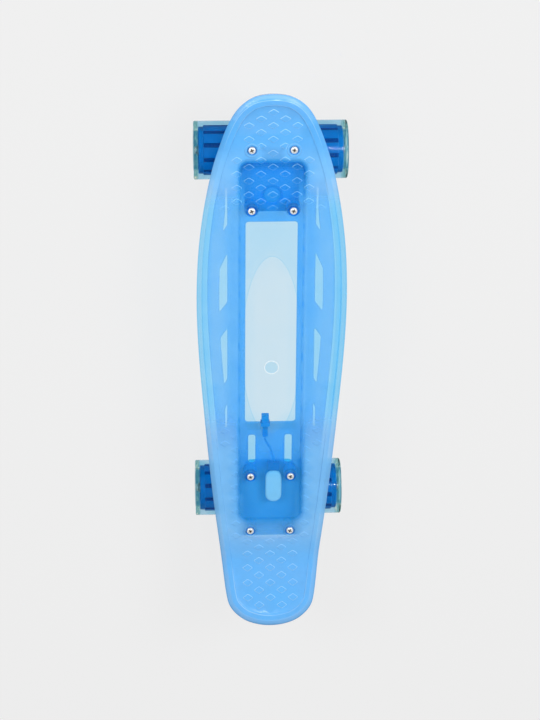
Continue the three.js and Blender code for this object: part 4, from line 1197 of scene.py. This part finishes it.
# Point marks: unshaded, and with painted shade for the bottoms of the core's grooves
UNSHADED, GROOVE_SHADE = (0.0, 1.0, 0.0, 0.0), (0.0, 1.0, 0.0, 1.0)
BEARING_HALF = 12.0
BEARING = [
    (4.25, 5.0), (4.25, 11.7), (4.55, BEARING_HALF), (6.2, BEARING_HALF), (6.4, 11.5), (9.1, 11.5),
    (9.3, BEARING_HALF), (10.4, BEARING_HALF), (10.7, 11.7), (10.7, 5.3), (10.4, 5.0),
]
HUB_HALF = BEARING_HALF + 0.3
HUB = [
    (19.8, CORE_HALF), (19.0, CORE_HALF), (18.6, 4.0), (15.6, 4.0), (15.0, 5.0), (15.0, HUB_HALF - 0.6),
    (14.4, HUB_HALF), (11.0, HUB_HALF),
]
SPACER = [(4.3, -5.0), (6.0, -5.0), (6.0, 5.0), (4.3, 5.0)]


def flipped(profile):
    """A profile's mirror image about height 0, from its last point to its first."""
    return [(radius, -height) for radius, height in reversed(profile)]


def build_tyre(wheel, matrix, steps=72):
    radius = node_middle(f"tyre_{wheel}")[2] - node_box(f"tyre_{wheel}")[0][2]
    high = [
        (radius, CORE_HALF - 0.4), (radius, CORE_HALF + 0.9),
        *arc((radius - TYRE_EDGE, WHEEL_HALF - TYRE_EDGE), TYRE_EDGE, np.radians(np.linspace(0, 90, 7))),
        *arc((LIP_RADIUS, WHEEL_HALF - LIP_EDGE), LIP_EDGE, np.radians(np.linspace(90, 180, 4))),
        (LIP_RADIUS - LIP_EDGE, CORE_HALF - 0.3), (BOND_RADIUS, CORE_HALF - 0.3),
    ]
    profile = high + flipped(high)
    # The lip rows get the painted refraction colour and highlight streaks.
    past_core, least_radius = LIP_PAINT_REACH
    marks = [(float(abs(height) > CORE_HALF + past_core and out > least_radius), 1.0)
             for out, height in profile for _ in range(steps)]
    mesher = Mesher()
    turned(mesher, profile, matrix, steps, closed=True, mark=marks)
    mesher.make(f"tyre_shell_{wheel}", "tyre", "clear_tyre", (f"tyre_{wheel}",), f"wheel_{wheel}", 40)


def build_core(wheel, matrix):
    """The core: raised panels between grooves, plain ends, and a hollow either side of the hub's web."""
    places = [((panel + share) / CORE_PANELS * 2 * math.pi, CORE_RADIUS - CORE_GROOVE * depth)
              for panel in range(CORE_PANELS) for share, depth in PANEL_SHARES]
    base = CORE_RADIUS - CORE_GROOVE

    outer = [(base - CORE_EDGE, CORE_HALF), (base, CORE_HALF - CORE_EDGE), (base, CORE_HALF - PANEL_ENDS[0]),
             (CORE_RADIUS, CORE_HALF - PANEL_ENDS[1])]
    rows = outer + flipped(outer) + flipped(HUB)[::-1] + HUB[::-1]
    # The groove bottoms get painted shade.
    marks = [GROOVE_SHADE if limit == CORE_RADIUS and r < CORE_RADIUS - CORE_GROOVE * 0.4 else UNSHADED
             for limit, _ in rows for _, r in places]
    mesher = Mesher()
    loops = [spun(matrix, height, [(a, min(r, limit)) for a, r in places]) for limit, height in rows]
    mesher.loops(loops, along=True, mark=marks)
    mesher.make(f"core_shell_{wheel}", "core", "core_plastic", (f"wheel_core_{wheel}",), f"wheel_{wheel}", 30)


def build_bearings(wheel, matrix):
    mesher = Mesher()
    for way in (-1, 1):
        turned(mesher, [(radius, way * height) for radius, height in BEARING], matrix, closed=True)
    turned(mesher, SPACER, matrix, 32, closed=True)
    mesher.make(f"bearings_{wheel}", "steel", "bearing_steel", (f"bearing_set_{wheel}",), f"wheel_{wheel}", 30)


def build_wheels():
    for end in ("front", "rear"):
        for side, sign in (("left", -1), ("right", 1)):
            wheel = f"{end}_{side}"
            middle = node_middle(f"tyre_{wheel}")
            matrix = sideways(*middle, sign)
            build_tyre(wheel, matrix)
            build_core(wheel, matrix)
            build_bearings(wheel, matrix)
            low, high = node_box(f"axle_nut_{wheel}")
            start = low[0] if sign > 0 else high[0]
            mesher = Mesher()
            nut(mesher, 12.7, 4.2, high[0] - low[0], sideways(start, middle[1], middle[2], sign), collar=1.8)
            mesher.make(f"axle_nut_shell_{wheel}", "steel", "nut_steel", (f"axle_nut_{wheel}",),
                        f"truck_{end}", 25)


build_wheels()


# Trucks: radii and heights along the kingpin or the pivot, from the steering axis's origin
CAST_VOXEL = 0.8
STACK = (
    ("board_cushion", "board_bushing", "bushing", "bushing", [
        (5.0, 3.55), (9.6, 3.55), (10.5, 4.2), (11.1, 8.3), (10.5, 12.4), (9.6, 13.05), (5.0, 13.05)]),
    ("road_cushion", "road_bushing", "bushing", "bushing", [
        (5.0, -3.55), (8.7, -3.55), (9.5, -4.2), (9.35, -8.05), (8.1, -12.0), (7.4, -12.55), (5.0, -12.55)]),
    ("cup_washer", "kingpin_washer", "steel", "kingpin_steel", [
        (5.0, -12.85), (9.0, -12.85), (9.5, -13.2), (9.5, -13.75), (9.2, -14.05), (5.0, -14.05)]),
)
NUT_TOP = -14.35
KINGPIN_TIP = [(0.0, -21.65), (3.9, -21.65), (4.6, -20.95)]
KINGPIN_THREAD = ((4.75, -20.7), (4.35, -20.1))
KINGPIN_PITCH, KINGPIN_TURNS = 1.2, 8
KINGPIN_HEAD = [
    (4.75, -11.0), (4.75, 16.85), (7.4, 16.85), (7.8, 17.2), (7.8, 20.8), (7.2, 21.35), (4.2, 21.35),
    (3.9, 21.0), (3.6, 18.8), (0.0, 18.8),
]
PIVOT_SEAT = [
    (0.0, 33.6), (4.2, 33.6), (4.55, 33.2), (4.55, 27.4), (4.9, 27.0), (6.1, 27.0), (6.45, 27.4), (6.45, 34.6),
    (6.1, 35.0), (0.0, 35.0),
]
AXLE_TIP = [(0.0, 0.0), (3.3, 0.0), (3.95, 0.7)]
AXLE_THREAD = ((4.0, 1.0), (3.65, 1.5))
AXLE_PITCH, AXLE_TURNS = 1.0, 9
AXLE_SHOULDER = (4.0, 10.6)


def cast(node, name, body, passes):
    """A node's own solid with the round edges of a casting."""
    piece = link(bpy.data.objects.new(name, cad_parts[node].data.copy()))
    remesh = piece.modifiers.new("skin", "REMESH")
    remesh.mode = "VOXEL"
    remesh.voxel_size = CAST_VOXEL * MM
    soften = piece.modifiers.new("soften", "SMOOTH")
    soften.factor = 0.5
    soften.iterations = passes
    place(evaluated(piece), name, "truck", "truck_metal", (node,), body, 180)


def thread(pair, pitch, turns):
    """A crest and a root, repeated."""
    return [(radius, height + i * pitch) for i in range(turns) for radius, height in pair]


def build_trucks():
    for end in ("front", "rear"):
        steer = steer_matrix(end)
        body = f"truck_{end}"
        cast(f"hanger_{end}", f"hanger_cast_{end}", body, 6)
        cast(f"baseplate_{end}", f"baseplate_cast_{end}", BODY, 3)
        for name, node, material, slot, profile in STACK:
            turned_piece(f"{name}_{end}", f"{node}_{end}", profile, steer, material, slot, closed=True)
        mesher = Mesher()
        flip = steer @ Matrix.Translation((0, 0, NUT_TOP)) @ Matrix.Rotation(math.pi, 4, "X")
        nut(mesher, 14.3, 5.0, 6.0, flip, collar=1.6)
        mesher.make(f"kingpin_nut_shell_{end}", "steel", "kingpin_steel", (f"kingpin_nut_{end}",), smooth=25)
        kingpin = KINGPIN_TIP + thread(KINGPIN_THREAD, KINGPIN_PITCH, KINGPIN_TURNS) + KINGPIN_HEAD
        turned_piece(f"kingpin_bolt_{end}", f"kingpin_{end}", kingpin, steer, "zinc", "kingpin_steel")
        pivot = steer @ Matrix.Rotation(-math.pi / 2, 4, "X")
        turned_piece(f"pivot_seat_{end}", f"pivot_cup_{end}", PIVOT_SEAT, pivot, "black", "cup_rubber")
        low, high = node_box(f"axle_{end}")
        middle = (low + high) / 2
        rod = AXLE_TIP + thread(AXLE_THREAD, AXLE_PITCH, AXLE_TURNS) + [AXLE_SHOULDER]
        rod = [(radius, height - high[0]) for radius, height in rod]
        rod += flipped(rod)
        axle = sideways(0, middle[1], middle[2], 1)
        turned_piece(f"axle_rod_{end}", f"axle_{end}", rod, axle, "steel", "kingpin_steel", body)


build_trucks()


# Switch, lead and pod
EASED = (
    ("switch_body", 0.35, "switch"), ("power_button", 0.5, "switch"), ("battery", 0.5, "cell"),
    ("circuit_board", 0.1, "laminate"),
)
LEAD_SHARES = [(0, 0), (0.14, 0.01), (0.31, 0.26), (0.48, 0.61), (0.68, 0.8), (0.86, 0.97), (1, 1)]
LEAD_SAG = 1.5
LEAD_STEPS = 8
WIRE_RADIUS = 0.55
WIRE_LOOK = (0.3, 0.4)
PLUG_LENGTH = 9.0
PLUG_HALF = (6.2, 3.0)
TUB_WALL = 1.5
TUB_LOOK = (0.2, 0.6)
LENS_LOOK = (0.2, 0.85)
LENS_DOME = [(0.0, 1.6), (0.25, 1.0), (0.8, 0.5), (1.8, 0.2), (3.4, 0.0), (6.0, 0.0)]


def eased(node, width, material):
    """A CAD node that keeps its shape, with eased edges and its own finish."""
    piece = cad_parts[node]
    bevel = piece.modifiers.new("ease", "BEVEL")
    bevel.width = width * MM
    bevel.segments = 2
    bevel.limit_method = "ANGLE"
    for slot in piece.material_slots:
        slot.material = MATERIALS[material]


def lead_route(start, end):
    """Points along the cable's middle line, on a Catmull-Rom curve."""
    route = [
        Vector((start.x + (end.x - start.x) * beside, start.y + (end.y - start.y) * ahead,
                start.z - LEAD_SAG * math.sin(math.pi * ahead)))
        for ahead, beside in LEAD_SHARES
    ]
    last = len(route) - 1
    dense = []
    for i in range(last):
        p0, p1, p2, p3 = (route[min(max(i + k, 0), last)] for k in (-1, 0, 1, 2))
        for t in np.linspace(0, 1, LEAD_STEPS, endpoint=i == last - 1):
            squared, cubed = 2 * p0 - 5 * p1 + 4 * p2 - p3, 3 * p1 - p0 - 3 * p2 + p3
            dense.append(0.5 * (2 * p1 + (p2 - p0) * t + squared * t ** 2 + cubed * t ** 3))
    return dense


def build_lead():
    """The two-wire cable from the switch to the pod, and its connector."""
    low, _ = node_box("switch_lead")
    switch_low, switch_high = node_box("switch_body")
    pod = node_middle("pod_lens")
    start = Vector(((switch_low[0] + switch_high[0]) / 2, switch_low[1] - 0.3, ROOM_Z))
    dense = lead_route(start, Vector((pod[0], low[1] + PLUG_LENGTH - 0.5, ROOM_Z)))
    mesher = Mesher()
    for way in (-1, 1):
        loops = []
        for i, point in enumerate(dense):
            ahead = dense[min(i + 1, len(dense) - 1)] - dense[max(i - 1, 0)]
            beside = Vector((ahead.y, -ahead.x, 0)).normalized()
            up = beside.cross(ahead).normalized()
            middle = point + beside * way * WIRE_RADIUS
            loops.append([tuple(middle + beside * x + up * y) for x, y in circle(WIRE_RADIUS, 12)])
        mesher.capped(loops[::-1], WIRE_LOOK)
    mesher.make("lead_cable", "cable", "switch_plastic")
    mesher = Mesher()
    half_x, half_z = PLUG_HALF
    block(mesher, (pod[0] - half_x, low[1], ROOM_Z - half_z),
          (pod[0] + half_x, low[1] + PLUG_LENGTH, ROOM_Z + half_z), 0.5)
    mesher.make("lead_plug", "plug", "switch_plastic", ("switch_lead",))


def build_pod():
    """The pod's tub and the pale lens that covers it."""
    low, high = node_box("pod_base")
    round_end = (high[0] - low[0]) / 2

    def ring(inset, z):
        rim = (low[0] + inset, high[0] - inset, low[1] + inset, high[1] - inset)
        return [(x, y, z) for x, y in round_rectangle(*rim, round_end - inset - 0.01, 12)]

    mesher = Mesher()
    mesher.capped([
        ring(TUB_WALL, low[2] + TUB_WALL), ring(TUB_WALL, high[2] - 0.2), ring(1.3, high[2]),
        ring(0.3, high[2]), ring(0.0, high[2] - 0.3), ring(0.0, low[2] + 0.4), ring(0.4, low[2]),
    ], TUB_LOOK)
    mesher.make("pod_tub", "tray", "tray_plastic", ("pod_base",))
    lens_low, lens_high = (corner[2] for corner in node_box("pod_lens"))
    mesher = Mesher()
    dome = [ring(0.4, lens_low), ring(0.0, lens_low + 0.4)]
    dome += [ring(inset, lens_high - drop) for inset, drop in LENS_DOME]
    mesher.capped(dome[::-1], LENS_LOOK)
    mesher.make("pod_cover", "lens", "lens", ("pod_lens",))


for node, width, material in EASED:
    eased(node, width, material)
build_lead()
build_pod()


# Stage, in metres: floor, light and camera
FLOOR_SIZE = 40.0
FLOOR_GREY = 0.8
BACKGROUND = 0.857
SKY = 0.236
SHADOW_SHARE = 0.09
LAMPS = (
    ("key_right", (1.15, 0.85, 1.65), (0.9, 0.9), 30.0),
    ("key_left", (-1.15, 0.85, 1.65), (0.9, 0.9), 23.6),
    ("front_spot", (0.18, 0.9, 1.8), (0.12, 0.12), 4.2),
)

# The camera of the photograph, fitted to the bolt heads and the wheels; its place is in millimetres
CAMERA_PLACE = (-117.724, 862.964, 2278.409)
CAMERA_AHEAD = (0.04683, -0.41994, -0.90634)
CAMERA_UP = (0.01342, 0.90752, -0.41979)
PHOTO_HEIGHT_PX = 720
FOCAL_PX = 2489.6
SHIFT_PX = -1.516
SENSOR = 36.0


def seen_directly(tree):
    """1 for what the camera, a reflection or clear rubber shows, 0 for the light that falls on things."""
    path = add_node(tree, "LightPath").outputs
    seen = combined(tree, "MAXIMUM", path["Is Camera Ray"], path["Is Glossy Ray"])
    return combined(tree, "MAXIMUM", seen, path["Is Transmission Ray"])


def build_floor():
    mesh = bpy.data.meshes.new("floor")
    half = FLOOR_SIZE / 2
    corners = [(-half, -half, 0), (half, -half, 0), (half, half, 0), (-half, half, 0)]
    mesh.from_pydata(corners, [], [(0, 1, 2, 3)])
    material, tree, shader = node_tree("pale_floor")
    set_inputs(tree, shader, {"Base Color": (FLOOR_GREY,) * 3, "Roughness": 0.9, "Specular IOR Level": 0.0})
    glow = add_node(tree, "Emission", {"Color": (BACKGROUND,) * 3})
    share = combined(tree, "MULTIPLY", seen_directly(tree), 1 - SHADOW_SHARE)
    show(tree, mix_shaders(tree, share, shader.outputs[0], glow.outputs[0]))
    mesh.materials.append(material)
    link(bpy.data.objects.new("floor", mesh))


def build_light():
    world = bpy.data.worlds.new("studio")
    world.use_nodes = True
    tree = world.node_tree
    strength = spread(tree, seen_directly(tree), SKY, BACKGROUND, 0.0, 1.0)
    set_inputs(tree, tree.nodes["Background"], {"Color": (1.0, 1.0, 1.0), "Strength": strength})
    bpy.context.scene.world = world
    for name, place_at, size, power in LAMPS:
        lamp = bpy.data.lights.new(name, "AREA")
        lamp.shape = "RECTANGLE"
        lamp.size, lamp.size_y = size
        lamp.energy = power
        holder = link(bpy.data.objects.new(name, lamp))
        holder.location = place_at
        holder.rotation_euler = Vector(place_at).to_track_quat("Z", "Y").to_euler()


def build_camera():
    place_at = (Vector(CAMERA_PLACE) + Vector((0, FRONT_Y, DECK_Z))) * MM
    ahead = Vector(CAMERA_AHEAD).normalized()
    right = ahead.cross(Vector(CAMERA_UP)).normalized()
    up = right.cross(ahead)
    camera = bpy.data.cameras.new("camera")
    camera.sensor_fit = "VERTICAL"
    camera.sensor_height = SENSOR
    camera.lens = FOCAL_PX / PHOTO_HEIGHT_PX * SENSOR
    camera.shift_x = SHIFT_PX / PHOTO_HEIGHT_PX
    holder = link(bpy.data.objects.new("camera", camera))
    axes = Matrix((right, up, -ahead)).transposed().to_4x4()
    holder.matrix_world = Matrix.Translation(place_at) @ axes
    bpy.context.scene.camera = holder


build_floor()
build_light()
build_camera()
bpy.context.scene.view_settings.view_transform = "Standard"
